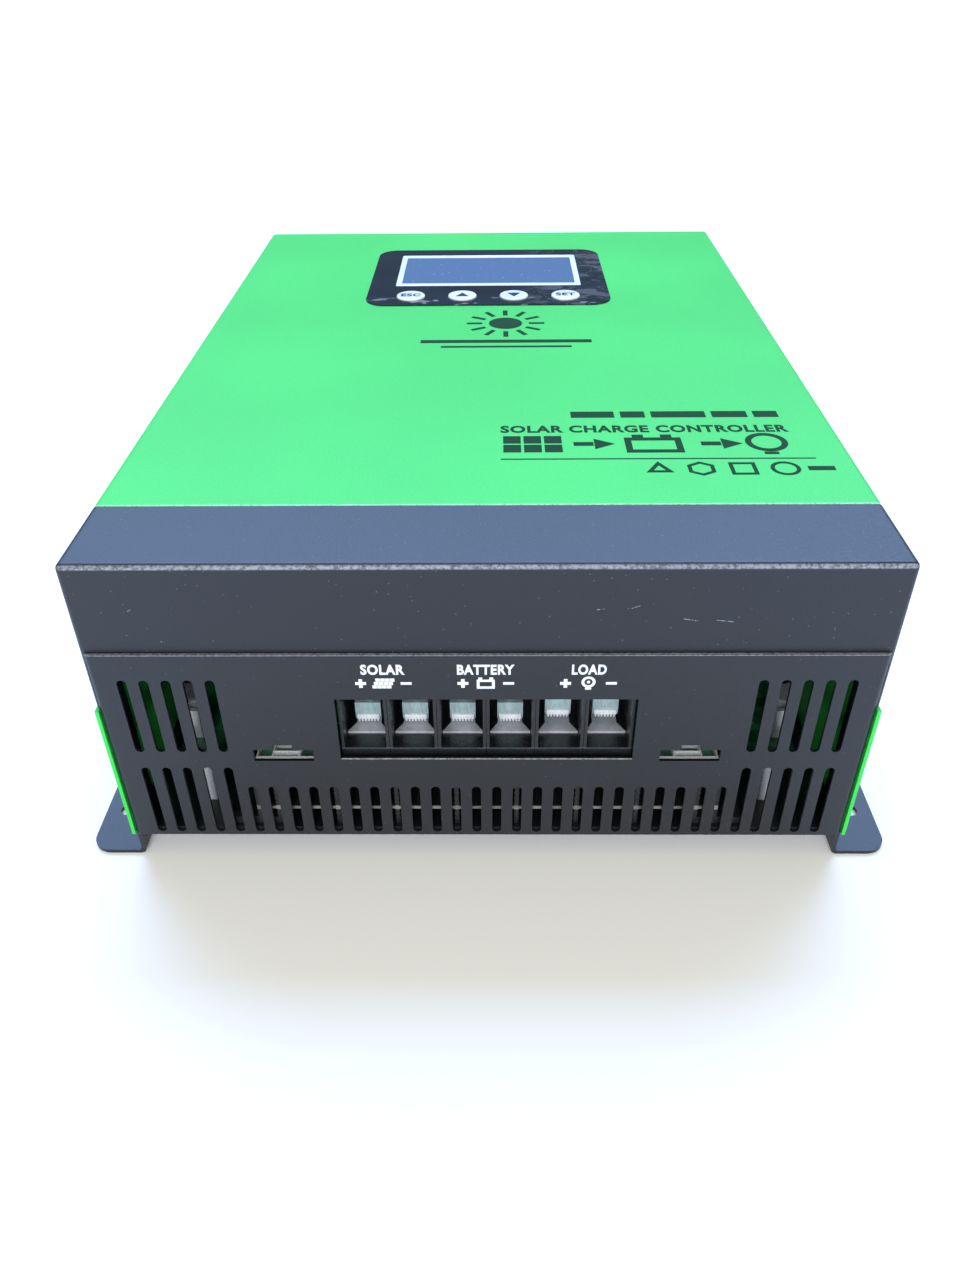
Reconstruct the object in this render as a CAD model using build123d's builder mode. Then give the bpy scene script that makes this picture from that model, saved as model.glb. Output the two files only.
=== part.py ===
"""Charge controller: sheet-metal case, lift-screw terminals, display with keys, heat sink and two fans.

Frame: +X to the right, the wiring face looks along -Y, +Z up. The origin is on the mounting plane,
under the middle of the case. All sizes are in millimetres.
"""
from build123d import *
from math import cos, floor, pi, sin
import os

os.makedirs("parts", exist_ok=True)

# ---------------------------------------------------------------- driving sizes: case
body_width = 250.0
body_depth = 360.0
cover_height = 121.5            # top of the cover above the mounting plane
sheet = 1.2                     # cover, cap and panels
base_sheet = 1.5
bend = 0.8                      # inside bend radius
edge_round = 0.5                # softened edges of the painted sheets
cover_lip = 9.0                 # front edge of the cover, turned down
panel_bottom = 11.0             # lower edge of the walls above the mounting plane
panel_top = 90.0
ear_width = 17.5
ear_corner = 7.0
fit_gap = 0.2                   # between one folded sheet and the next
seam = 0.4                      # open seam between cover and cap
cap_depth = 37.0
cap_front_drop = 32.0
cap_side_drop = 53.5
cap_tuck = 4.0                  # the cap's front reaches down behind the front panel
flange_depth = 18.0
rear_recess = 6.0
sheet_bend = sheet + bend       # outside bend radius of the painted sheets
base_bend = base_sheet + bend

# brackets that hold the cover's side walls
bracket_count = 3
bracket_width = 14.0
bracket_foot = 12.0
bracket_screw_rise = 10.3       # above the floor
bracket_screw_edge = 6.0        # from the screw to the bracket's upper edge

# ear holes
ear_hole_radius = 2.75
ear_hole_inset = 21.0           # from the ends of the case
ear_hole_out = 9.6              # outboard of the side walls

# vents
short_slots = 24
tall_slots = 5
slot_width = 3.1
vent_margin = 6.3               # from the outermost slot's cell to the end of the panel
slot_bottom = 12.5
short_slot = 21.8
tall_slot = 30.6
upper_slot = 30.1
upper_slot_bottom = 50.2
rear_slot = 61.2
rear_slot_pitch = 6.9
rear_slot_margin = 4.0          # from the fans and the bends to the nearest rear slot

# screws of the case
screw_radius = 2.0
screw_clearance = 0.2
head_radius = 3.6
head_height = 2.2
case_screw_length = 6.0
cross_length = 1.1              # the head's cross recess, as shares of the head
cross_width = 0.24
cross_depth = 0.6
head_crown = 0.45
side_screw_rise = 11.3          # lowest front flange screw above the floor
side_screw_drop = 13.0          # upper front flange screw below the cap's sides
rear_screw_rise = 18.3
rear_screw_drop = 20.3
floor_screw_inset = 35.0        # outer floor screws from the case's sides
floor_screw_setback = 8.0
panel_toe = 15.0                # depth of the panels' bottom flanges
panel_toe_gap = 3.0
rear_toe = 14.0
rear_toe_gap = 4.0

# ---------------------------------------------------------------- driving sizes: terminals
port_count = 6
port_pitch = 15.95
port_wall = 1.0                 # between neighbouring ports, half on each housing
housing_gap = 0.15              # hairline between neighbouring housings
port_floor_height = 5.9         # above the circuit board
port_height = 22.0
housing_height = 38.0
housing_depth = 28.0
housing_setback = 2.8           # behind the face of the front panel
housing_chamfer = 3.0
lintel_depth = 4.2              # front wall above the port
clamp_setback = 11.9            # from the housing's front to the clamp's face
port_back_gap = 0.5
window_height = 25.5
window_margin = 2.4             # from the floor of the ports to the window's lower edge
window_side_gap = 0.15          # from the row of ports to the ends of the window
clamp_width = 8.6
clamp_depth = 12.8
clamp_sheet = 1.6
clamp_lip = 8.2
clamp_gap = 0.3
bar_thickness = 1.0
tongue_reach = 4.7              # the bar's flared tongue, in front of the clamp
yoke_thickness = 2.5
yoke_seat = 0.6                 # how far each end of the yoke sits in the housing's walls
yoke_margin = 0.5               # from the yoke's front and rear to the clamp's
terminal_screw_radius = 3.0
terminal_screw_pitch = 1.0
terminal_head_radius = 4.2
terminal_head_height = 4.0
terminal_head_chamfer = 0.4
driver_slot = 1.2
driver_cross = 1.3              # length of the short slot, as a share of the head's radius
driver_depth = 1.8
terminal_axis_depth = 6.8       # from the clamp's face to the screw
running_fit = 0.05
clamp_travel = 10.0
raised_clamps = {5: 2.0, 6: 2.0}   # ports that stand partly open at rest, and by how much

# cable tie brackets beside the terminals
tie_bracket_gap = 8.9           # from the terminal window to the bracket's window
tie_window_width = 19.8
tie_window_height = 4.9
tie_notch_width = 6.3
tie_notch_height = 2.0
tie_window_rise = 2.6           # of its window above the board
tie_rib = 0.5
tie_rib_places = (5.2, 14.2)    # of the two inner ribs, from the bracket's left end
tie_cross_rib = 3.4             # behind the bracket's front strip
tie_depth = 9.0

# ---------------------------------------------------------------- driving sizes: inside
board_wall_gap = 19.8           # from the board's sides to the case's walls
board_setback = 3.0             # from the face of the front panel
board_rear_gap = 110.0          # from the board to the rear end of the case
sink_inset = 24.0               # from the board's sides to the heat sink's
sink_height = 22.8
sink_base = 4.5
sink_web = 1.2
sink_web_height = 0.42          # as a share of the fins
sink_screw_shares = (0.12, 0.5, 0.88)
fin_pitch = 10.35
fin_thickness = 1.8
fin_ripple = 0.3
foot_width = 9.0
foot_height = 3.0
transistor_width = 15.6
transistor_length = 20.0
transistor_height = 4.8
transistor_bevel = 0.6
transistor_pitch = 26.0
transistor_inset = 12.0         # from the heat sink's sides
transistor_start = 75.0         # from the board's front edge to the first row
transistor_end = 40.0           # free length behind the last row
lead_pitch = 5.45
lead_width = 1.2
lead_thickness = 0.6
lead_reach = 2.4
lead_height = 2.0
pad_margin = 1.0
pad_thickness = 0.3
transistor_gap = 0.4
board_thickness = 1.6
post_shares = (0.06, 0.5, 0.94)
post_inset = 4.5
post_across = 7.0
post_height = 12.0
stud_radius = 2.0
stud_reach = 7.2                # above the board, inside the post
inductor_gap = 22.0             # from the terminals to the cores
core_radius = 20.0
core_bore = 10.5
core_height = 18.0
winding_thickness = 3.0
winding_round = 1.8
inductor_spacing = 62.0
inductor_count = 3
shunt_gap = 18.0                # from the cores to the shunts
shunt_spacing = 45.0
shunt_half_span = 9.0
shunt_foot = 5.0
shunt_rise = 8.0
shunt_thickness = 1.5
shunt_width = 10.0
can_radius = 11.0
can_height = 40.0
can_pitch = 26.0
can_round = 1.5
can_columns = 5
can_rows = 2
can_plug_gap = 8.0
plug_height = 6.0
plug_depth = 5.0
plug_margin = 1.5
ribbon_width = 16.0
ribbon_thickness = 1.0
ribbon_bend = 8.0
ribbon_tail = 14.0              # straight length at each plug
ribbon_across = 30.0
ribbon_lead = 10.0              # from the overlay's middle to the upper plug
ribbon_end_gap = 6.0            # from the board's rear edge to the lower plug

# ---------------------------------------------------------------- driving sizes: display and keys
overlay_width = 117.0
overlay_length = 92.2
overlay_thickness = 0.5
overlay_corner = 10.0
overlay_inset = 37.1            # from the rear end of the case
lcd_width = 91.5
lcd_length = 53.0
lcd_forward = 9.6               # the display's middle behind the overlay's
lcd_corner = 1.2
lcd_case_margin = 2.5
lcd_case_bevel = 0.8
lcd_sink = 0.1                  # the frame's top below the overlay's
lcd_border_side = 2.7
lcd_border_end = 4.2
lcd_height = 11.0
lens_thickness = 1.0
lens_sink = 0.3
key_radius = 6.85
key_pitch = 24.8
key_row_back = 33.3             # from the overlay's middle
key_gap = 0.3
key_crown = 0.6
key_skirt = 1.4
key_skirt_thickness = 1.0
key_rise = 0.7
key_travel = 0.6
key_stem_radius = 1.8
switch_side = 6.0
switch_height = 4.0
switch_button = 2.1
display_board_margin_x = 2.5    # inside the overlay's outline
display_board_margin_y = 1.1
display_stud_inset = 3.0
display_stud_half = 2.4
display_depth = 14.0            # from the cover's top to the top of the display board

# ---------------------------------------------------------------- driving sizes: fans
fan_size = 80.0
fan_depth = 25.0
fan_hole_pitch = 71.5
fan_bore = 38.0
fan_spacing = 116.0
fan_corner = 5.0
fan_seat = 1.0                  # the fans' middle above the middle of the rear panel
fan_arm = 3.0
fan_plate = 2.5
fan_sleeve = 10.0
fan_sleeve_wall = 1.5
fan_running_gap = 1.0
blade_thickness = 1.0
blade_chord = 26.0
blade_root = 1.0                # how far the blades reach into the hub
rotor_wall = 1.5
rotor_round = 1.5
rotor_hub = 17.0
rotor_radius = 37.0
blade_count = 7
blade_pitch_angle = 38.0
shaft_radius = 1.5
guard_wire = 1.1
guard_rings = (36.0, 28.0, 20.0, 12.0)   # from the outside in
fan_head_radius = 3.2
fan_head_height = 1.6
fan_screw_length = 20.0

# ---------------------------------------------------------------- places worked out from the sizes
half_width = body_width / 2
half_depth = body_depth / 2
inner_half = half_width - sheet
cover_under = cover_height - sheet
panel_half = inner_half - fit_gap
panel_height = panel_top - panel_bottom
panel_back = -half_depth + sheet
floor_under = panel_bottom + sheet
floor_top = floor_under + base_sheet
leg_inner = inner_half - base_sheet
slot_pitch = 2 * (panel_half - vent_margin) / (short_slots + 2 * tall_slots)
cap_split = -half_depth + cap_depth
cap_front = panel_back + fit_gap
cap_side_bottom = cover_height - cap_side_drop
flange_top = panel_top - cap_tuck - fit_gap - seam
rear_face = half_depth - rear_recess
rear_inside = rear_face - sheet
board_half_width = inner_half - board_wall_gap
board_front = -half_depth + board_setback
board_rear = half_depth - board_rear_gap
board_length = board_rear - board_front
sink_half_width = board_half_width - sink_inset
sink_top = floor_top + sink_height
pad_top = sink_top + pad_thickness
board_under = pad_top + transistor_height + transistor_gap
board_top = board_under + board_thickness
housing_front = -half_depth + housing_setback
housing_rear = housing_front + housing_depth
port_width = port_pitch - housing_gap - 2 * port_wall
port_floor = board_top + port_floor_height
port_top = port_floor + port_height
window_bottom = port_floor - window_margin
row_half = port_count * port_pitch / 2
window_half = row_half + window_side_gap
port_places = [(index - (port_count - 1) / 2) * port_pitch for index in range(port_count)]
clamp_front = housing_front + clamp_setback
port_back = clamp_front + clamp_depth + port_back_gap
terminal_axis = clamp_front + terminal_axis_depth
clamp_closed = port_floor + bar_thickness + clamp_gap
yoke_depth = clamp_depth - 2 * yoke_margin
tie_bracket_x = window_half + tie_bracket_gap + tie_window_width / 2
tie_window_bottom = board_top + tie_window_rise
overlay_centre = half_depth - overlay_inset - overlay_length / 2
lcd_centre = overlay_centre + lcd_forward
key_row = overlay_centre - key_row_back
key_places = [(index - 1.5) * key_pitch for index in range(4)]
key_names = ["key_esc", "key_up", "key_down", "key_set"]
display_board_top = cover_height - display_depth
fan_centre = floor_top + fan_seat + (cover_under - floor_top) / 2
fan_rear = rear_inside
fan_front = fan_rear - fan_depth
ear_half = half_width + ear_width
ribbon_start = overlay_centre - ribbon_lead
ribbon_end = board_rear - ribbon_end_gap

front_flange_middle = panel_back + flange_depth / 2
rear_flange_middle = rear_inside - flange_depth / 2
bracket_span = (rear_inside - panel_back - 2 * flange_depth) / bracket_count
front_flange_places = [(front_flange_middle, floor_top + side_screw_rise),
                       (front_flange_middle, cap_side_bottom - side_screw_drop)]
bracket_places = [(panel_back + flange_depth + (index + 0.5) * bracket_span, floor_top + bracket_screw_rise)
                  for index in range(bracket_count)]
rear_flange_places = [(rear_flange_middle, floor_top + rear_screw_rise),
                      (rear_flange_middle, cover_under - rear_screw_drop)]
side_screw_places = [*front_flange_places, *bracket_places, *rear_flange_places]
cap_screw_place = (front_flange_middle, (cap_side_bottom + flange_top) / 2)
floor_screw_places = [(side * (half_width - floor_screw_inset), panel_back + floor_screw_setback)
                      for side in (-1, 0, 1)]
sink_screw_places = [
    (side * (sink_half_width + foot_width / 2), board_front + along * board_length)
    for side in (-1, 1) for along in sink_screw_shares
]
post_places = [
    (side * (board_half_width - post_inset), board_front + along * board_length)
    for side in (-1, 1) for along in post_shares
]
fan_places = [("left", -fan_spacing / 2), ("right", fan_spacing / 2)]
transistor_rows = 1 + int((board_length - transistor_start - transistor_end) / transistor_pitch)
transistor_places = [
    (side * (sink_half_width - transistor_inset), board_front + transistor_start + row * transistor_pitch)
    for row in range(transistor_rows) for side in (-1, 1)
]
rear_slot_first = (fan_spacing + fan_size + slot_width) / 2 + rear_slot_margin
rear_slot_room = panel_half - sheet_bend - rear_slot_margin - slot_width / 2 - rear_slot_first
rear_slot_pairs = max(0, 1 + floor(rear_slot_room / rear_slot_pitch))
rear_slots_outside = [rear_slot_first + index * rear_slot_pitch for index in range(rear_slot_pairs)]
rear_slots_between = [(index - 1.5) * rear_slot_pitch for index in range(4)]
rear_slot_places = [-x for x in rear_slots_outside] + rear_slots_between + rear_slots_outside


# ---------------------------------------------------------------- shared shapes
def save(builder, label):
    """Name a finished piece and write it to its own file."""
    builder.part.label = label
    export_step(builder.part, f"parts/{label}.step")


def folded_sheet(points, thickness, radii, side):
    """Section of a folded sheet, grown to one side of a bent line."""
    with BuildSketch() as section:
        with BuildLine():
            FilletPolyline(*points, radius=radii)
            offset(amount=thickness, side=side)
        make_face()
    return section.sketch


def pan_screw(radius, head, rise, length):
    """Cross-recessed pan head screw, head upwards, with the underside of its head at the origin."""
    with BuildPart() as screw:
        Cylinder(radius, length, align=(Align.CENTER, Align.CENTER, Align.MAX))
        Cylinder(head, rise, align=(Align.CENTER, Align.CENTER, Align.MIN))
        fillet(screw.edges().filter_by(GeomType.CIRCLE).group_by(Axis.Z)[-1], rise * head_crown)
        with BuildSketch(Plane.XY.offset(rise)):
            Rectangle(head * cross_length, head * cross_width)
            Rectangle(head * cross_width, head * cross_length)
        extrude(amount=-rise * cross_depth, mode=Mode.SUBTRACT)
    return screw.part


def side_plane(side, y, z):
    """Plane on a side wall's outer face, looking outwards."""
    return Plane(origin=(side * half_width, y, z), z_dir=(side, 0, 0))


case_screw = pan_screw(screw_radius, head_radius, head_height, case_screw_length)
flange_screw = pan_screw(screw_radius, head_radius, head_height, sheet + base_sheet)

# ---------------------------------------------------------------- base plate with mounting ears
with BuildPart() as base_plate:
    with BuildSketch(Plane.XZ.offset(-panel_back)):
        add(folded_sheet(
            [(-ear_half, 0), (-leg_inner, 0), (-leg_inner, floor_under),
             (leg_inner, floor_under), (leg_inner, 0), (ear_half, 0)],
            base_sheet, [base_bend, bend, bend, base_bend], Side.LEFT))
    extrude(amount=2 * panel_back)
    fillet(base_plate.edges().filter_by(Axis.Z).filter_by(
        lambda edge: abs(edge.center().X) > ear_half - 0.1), ear_corner)
    with Locations(*[(side * (half_width + ear_hole_out), end * (half_depth - ear_hole_inset), base_sheet)
                     for side in (-1, 1) for end in (-1, 1)]):
        Hole(ear_hole_radius)
    with BuildSketch(Plane.XY.offset(floor_under)):
        with Locations(*floor_screw_places, *sink_screw_places):
            Circle(screw_radius + screw_clearance)
        with Locations(*post_places):
            Circle(stud_radius + screw_clearance)
    extrude(amount=base_sheet, mode=Mode.SUBTRACT)
save(base_plate, "base_plate")

# ---------------------------------------------------------------- painted cover: top and both side walls
with BuildPart() as top_cover:
    with BuildSketch(Plane.XZ.offset(half_depth)):
        add(folded_sheet(
            [(-half_width, panel_bottom), (-half_width, cover_height),
             (half_width, cover_height), (half_width, panel_bottom)],
            sheet, [sheet_bend, sheet_bend], Side.RIGHT))
    extrude(amount=-body_depth)
    with BuildSketch(Plane.XZ.offset(half_depth)):
        with Locations((0, cap_side_bottom - seam)):
            Rectangle(body_width + 2, cover_height, align=(Align.CENTER, Align.MIN))
    extrude(amount=-cap_depth, mode=Mode.SUBTRACT)
    with BuildSketch(Plane.XZ.offset(-cap_split)):
        with Locations((0, cover_height)):
            Rectangle(2 * (inner_half - bend), cover_lip, align=(Align.CENTER, Align.MAX))
    extrude(amount=-sheet)
    fillet(top_cover.edges().filter_by(Axis.X).filter_by_position(
        Axis.Y, cap_split - 0.1, cap_split + 0.1).sort_by(Axis.Z)[-1], edge_round)
    for hand in (-1, 1):
        with BuildSketch(*[side_plane(hand, y, z) for y, z in side_screw_places]):
            Circle(screw_radius + screw_clearance)
        extrude(amount=-2 * sheet, mode=Mode.SUBTRACT)
    with BuildSketch(Plane.XY.offset(cover_height)):
        with Locations((0, lcd_centre)):
            Rectangle(lcd_width + 2 * key_gap, lcd_length + 2 * key_gap)
        with Locations(*[(x, key_row) for x in key_places]):
            Circle(key_radius + key_gap)
    extrude(amount=-2 * sheet, mode=Mode.SUBTRACT)
save(top_cover, "top_cover")

# ---------------------------------------------------------------- wiring cap over the terminals
with BuildPart() as front_cap:
    with BuildSketch(Plane.XY.offset(cap_side_bottom)):
        with Locations((0, cap_front)):
            Rectangle(body_width, cap_split - seam - cap_front, align=(Align.CENTER, Align.MIN))
    extrude(amount=cover_height - cap_side_bottom)
    folds = front_cap.edges().filter_by(lambda edge: edge.center().Y < cap_split - seam - 0.1)
    fillet(folds.filter_by(lambda edge: edge.center().Z > cap_side_bottom + 0.1), sheet_bend)
    with BuildSketch(Plane.XY.offset(cap_side_bottom - 1)):
        with Locations((0, cap_front + sheet)):
            Rectangle(2 * inner_half, cap_depth, align=(Align.CENTER, Align.MIN))
    extrude(amount=cover_height - cap_side_bottom + 1 - sheet, mode=Mode.SUBTRACT)
    with BuildSketch(Plane.XZ.offset(half_depth)):
        with Locations((0, panel_top - cap_tuck)):
            Rectangle(2 * inner_half, body_width, align=(Align.CENTER, Align.MAX))
    extrude(amount=-2 * (cap_front + sheet + half_depth), mode=Mode.SUBTRACT)
    for hand in (-1, 1):
        with BuildSketch(side_plane(hand, *cap_screw_place)):
            Circle(screw_radius + screw_clearance)
        extrude(amount=-2 * sheet, mode=Mode.SUBTRACT)
save(front_cap, "front_cap")

# ---------------------------------------------------------------- front panel: vents and terminal window
with BuildPart() as front_panel:
    with BuildSketch(Plane.XY.offset(panel_bottom)):
        add(folded_sheet(
            [(-panel_half, panel_back + flange_depth), (-panel_half, -half_depth),
             (panel_half, -half_depth), (panel_half, panel_back + flange_depth)],
            sheet, [sheet_bend, sheet_bend], Side.LEFT))
    extrude(amount=panel_height)
    with BuildSketch(Plane.XY.offset(flange_top)):
        with Locations((0, panel_back)):
            Rectangle(body_width, 2 * flange_depth, align=(Align.CENTER, Align.MIN))
    extrude(amount=panel_height, mode=Mode.SUBTRACT)
    with BuildSketch(Plane.XY.offset(panel_bottom)):
        with Locations((0, panel_back)):
            Rectangle(body_width, 2 * flange_depth, align=(Align.CENTER, Align.MIN))
    extrude(amount=floor_top + fit_gap - panel_bottom, mode=Mode.SUBTRACT)
    with BuildSketch(Plane.XY.offset(panel_bottom)):
        with Locations((0, -half_depth)):
            Rectangle(2 * (leg_inner - panel_toe_gap), panel_toe, align=(Align.CENTER, Align.MIN))
        with Locations(*floor_screw_places):
            Circle(screw_radius + screw_clearance, mode=Mode.SUBTRACT)
    extrude(amount=sheet)
    with BuildSketch(Plane.XZ.offset(half_depth)):
        first_tall = short_slots / 2 + 0.5
        for index in range(short_slots):
            with Locations(((index - (short_slots - 1) / 2) * slot_pitch, slot_bottom + short_slot / 2)):
                SlotOverall(short_slot, slot_width, rotation=90)
        for hand in (-1, 1):
            for index in range(tall_slots):
                across = hand * (first_tall + index) * slot_pitch
                with Locations((across, slot_bottom + tall_slot / 2)):
                    SlotOverall(tall_slot, slot_width, rotation=90)
                with Locations((across, upper_slot_bottom + upper_slot / 2)):
                    SlotOverall(upper_slot, slot_width, rotation=90)
            with Locations((hand * tie_bracket_x, tie_window_bottom)):
                Rectangle(tie_window_width, tie_window_height, align=(Align.CENTER, Align.MIN))
                Rectangle(tie_notch_width, tie_window_height + tie_notch_height,
                          align=(Align.CENTER, Align.MIN))
        with Locations((0, window_bottom)):
            Rectangle(2 * window_half, window_height, align=(Align.CENTER, Align.MIN))
    extrude(amount=-2 * sheet, mode=Mode.SUBTRACT)
    for hand in (-1, 1):
        with BuildSketch(*[side_plane(hand, y, z) for y, z in [*front_flange_places, cap_screw_place]]):
            Circle(screw_radius + screw_clearance)
        extrude(amount=-4 * sheet, mode=Mode.SUBTRACT)
save(front_panel, "front_panel")

# ---------------------------------------------------------------- rear panel with two fan openings
with BuildPart() as rear_panel:
    with BuildSketch(Plane.XY.offset(floor_top)):
        add(folded_sheet(
            [(-panel_half, rear_face - flange_depth), (-panel_half, rear_face),
             (panel_half, rear_face), (panel_half, rear_face - flange_depth)],
            sheet, [sheet_bend, sheet_bend], Side.RIGHT))
    extrude(amount=cover_under - bend * 0.6 - floor_top)
    with BuildSketch(Plane.XY.offset(floor_top)):
        with Locations((0, rear_face)):
            Rectangle(2 * (panel_half - rear_toe_gap), rear_toe, align=(Align.CENTER, Align.MAX))
    extrude(amount=sheet)
    with BuildSketch(Plane.XZ.offset(-rear_face)):
        for _, across in fan_places:
            with Locations((across, fan_centre)):
                Circle(fan_bore)
                with GridLocations(fan_hole_pitch, fan_hole_pitch, 2, 2):
                    Circle(screw_radius + screw_clearance)
        with Locations(*[(x, fan_centre) for x in rear_slot_places]):
            SlotOverall(rear_slot, slot_width, rotation=90)
    extrude(amount=2 * sheet, mode=Mode.SUBTRACT)
    for hand in (-1, 1):
        with BuildSketch(*[side_plane(hand, y, z) for y, z in rear_flange_places]):
            Circle(screw_radius + screw_clearance)
        extrude(amount=-4 * sheet, mode=Mode.SUBTRACT)
save(rear_panel, "rear_panel")

# ---------------------------------------------------------------- brackets and screws that join the sheets
with BuildPart() as cover_brackets:
    for hand in (-1, 1):
        for y, z in bracket_places:
            with BuildSketch(Plane.XZ.offset(-(y - bracket_width / 2))):
                add(folded_sheet(
                    [(hand * (inner_half - bracket_foot), floor_top), (hand * inner_half, floor_top),
                     (hand * inner_half, z + bracket_screw_edge)],
                    base_sheet, [base_bend], Side.LEFT if hand > 0 else Side.RIGHT))
            extrude(amount=-bracket_width)
        with BuildSketch(*[side_plane(hand, y, z) for y, z in bracket_places]):
            Circle(screw_radius + screw_clearance)
        extrude(amount=-4 * base_sheet, mode=Mode.SUBTRACT)
save(cover_brackets, "cover_brackets")

with BuildPart() as cover_screws:
    for hand in (-1, 1):
        with Locations(*[side_plane(hand, y, z) for y, z in side_screw_places]):
            add(case_screw)
save(cover_screws, "cover_screws")

with BuildPart() as cap_screws:
    with Locations(*[side_plane(hand, *cap_screw_place) for hand in (-1, 1)]):
        add(case_screw)
save(cap_screws, "cap_screws")

with BuildPart() as panel_screws:
    with Locations(*[Plane(origin=(x, y, panel_bottom), z_dir=(0, 0, -1)) for x, y in floor_screw_places]):
        add(flange_screw)
save(panel_screws, "panel_screws")

with BuildPart() as tie_brackets:
    for hand in (-1, 1):
        left = hand * tie_bracket_x - tie_window_width / 2
        with BuildSketch(Plane.XY.offset(tie_window_bottom)):
            with Locations((left, panel_back)):
                Rectangle(tie_window_width, sheet, align=(Align.MIN, Align.MIN))
                for along in (0.0, *tie_rib_places, tie_window_width - tie_rib):
                    with Locations((along, 0)):
                        Rectangle(tie_rib, tie_depth, align=(Align.MIN, Align.MIN))
                with Locations((tie_rib_places[0], tie_cross_rib)):
                    Rectangle(tie_rib_places[1] - tie_rib_places[0], tie_rib, align=(Align.MIN, Align.MIN))
                with Locations((0, tie_depth)):
                    Rectangle(tie_window_width, sheet, align=(Align.MIN, Align.MAX))
        extrude(amount=-tie_window_rise)
save(tie_brackets, "tie_brackets")

# ---------------------------------------------------------------- heat sink: comb section with rippled fins
with BuildPart() as heat_sink:
    with BuildSketch(Plane.XZ.offset(-board_front)) as comb:
        with Locations((0, sink_top)):
            Rectangle(2 * sink_half_width, sink_base, align=(Align.CENTER, Align.MAX))
        fin_count = 2 * int(sink_half_width / fin_pitch) + 1
        ripples = int((sink_height - sink_base) / (4 * fin_ripple))
        for index in range(fin_count):
            across = (index - (fin_count - 1) / 2) * fin_pitch
            left_side = [(across - fin_thickness / 2 + fin_ripple * (step % 2),
                          floor_top + step * (sink_height - sink_base) / ripples)
                         for step in range(ripples + 1)]
            right_side = [(2 * across - x, z) for x, z in reversed(left_side)]
            with BuildLine():
                Polyline(*left_side, *right_side, close=True)
            make_face()
        with Locations((0, floor_top + (sink_height - sink_base) * sink_web_height)):
            Rectangle(2 * sink_half_width - fin_pitch, sink_web)
        for hand in (-1, 1):
            with Locations((hand * sink_half_width, floor_top)):
                Rectangle(2 * foot_width, foot_height, align=(Align.CENTER, Align.MIN))
            with Locations((hand * (sink_half_width - fin_thickness / 2), floor_top)):
                Rectangle(fin_thickness, sink_height, align=(Align.CENTER, Align.MIN))
    extrude(amount=-board_length)
    with BuildSketch(Plane.XY.offset(floor_top)):
        with Locations(*sink_screw_places):
            Circle(screw_radius + screw_clearance)
    extrude(amount=foot_height, mode=Mode.SUBTRACT)
save(heat_sink, "heat_sink")

with BuildPart() as heat_sink_screws:
    with Locations(*[Plane(origin=(x, y, floor_under), z_dir=(0, 0, -1)) for x, y in sink_screw_places]):
        add(case_screw)
save(heat_sink_screws, "heat_sink_screws")

# ---------------------------------------------------------------- power transistors on thermal pads
with BuildPart() as thermal_pads:
    with BuildSketch(Plane.XY.offset(sink_top)):
        with Locations(*transistor_places):
            Rectangle(transistor_width + 2 * pad_margin, transistor_length + 2 * pad_margin)
    extrude(amount=pad_thickness)
save(thermal_pads, "thermal_pads")

with BuildPart() as power_transistors:
    with BuildSketch(Plane.XY.offset(pad_top)):
        with Locations(*transistor_places):
            Rectangle(transistor_width, transistor_length)
    extrude(amount=transistor_height)
    chamfer(power_transistors.faces().filter_by(Plane.XY).group_by(Axis.Z)[-1].edges(), transistor_bevel)
    lead_places = [(x + lead * lead_pitch, y - transistor_length / 2)
                   for x, y in transistor_places for lead in (-1, 0, 1)]
    with BuildSketch(Plane.XY.offset(pad_top + lead_height)):
        with Locations(*lead_places):
            Rectangle(lead_width, lead_reach, align=(Align.CENTER, Align.MAX))
    extrude(amount=lead_thickness)
    with BuildSketch(Plane.XY.offset(pad_top + lead_height)):
        with Locations(*[(x, y - lead_reach) for x, y in lead_places]):
            Rectangle(lead_width, lead_thickness, align=(Align.CENTER, Align.MIN))
    extrude(amount=board_under - pad_top - lead_height)
save(power_transistors, "power_transistors")

# ---------------------------------------------------------------- main circuit board on hexagonal posts
with BuildPart() as main_board:
    with BuildSketch(Plane.XY.offset(board_under)):
        with Locations((0, board_front)):
            Rectangle(2 * board_half_width, board_length, align=(Align.CENTER, Align.MIN))
        with Locations(*post_places):
            Circle(stud_radius + screw_clearance, mode=Mode.SUBTRACT)
    extrude(amount=board_thickness)
save(main_board, "main_board")

with BuildPart() as standoffs:
    with BuildSketch(Plane.XY.offset(floor_top)):
        with Locations(*post_places):
            RegularPolygon(post_across / 2, 6, major_radius=False)
    extrude(amount=board_under - floor_top)
    with BuildSketch(Plane.XY.offset(floor_under)):
        with Locations(*post_places):
            Circle(stud_radius)
    extrude(amount=board_top + stud_reach - floor_under)
save(standoffs, "standoffs")

with BuildPart() as board_posts:
    with BuildSketch(Plane.XY.offset(board_top)):
        with Locations(*post_places):
            RegularPolygon(post_across / 2, 6, major_radius=False)
            Circle(stud_radius + running_fit, mode=Mode.SUBTRACT)
    extrude(amount=post_height)
save(board_posts, "board_posts")

# ---------------------------------------------------------------- inductors, capacitors and shunts
inductor_row = housing_rear + inductor_gap + core_radius
inductor_places = [((index - (inductor_count - 1) / 2) * inductor_spacing, inductor_row)
                   for index in range(inductor_count)]
with BuildPart() as inductor_cores:
    with BuildSketch(Plane.XY.offset(board_top + winding_thickness)):
        with Locations(*inductor_places):
            Circle(core_radius)
            Circle(core_bore, mode=Mode.SUBTRACT)
    extrude(amount=core_height)
save(inductor_cores, "inductor_cores")

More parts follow.
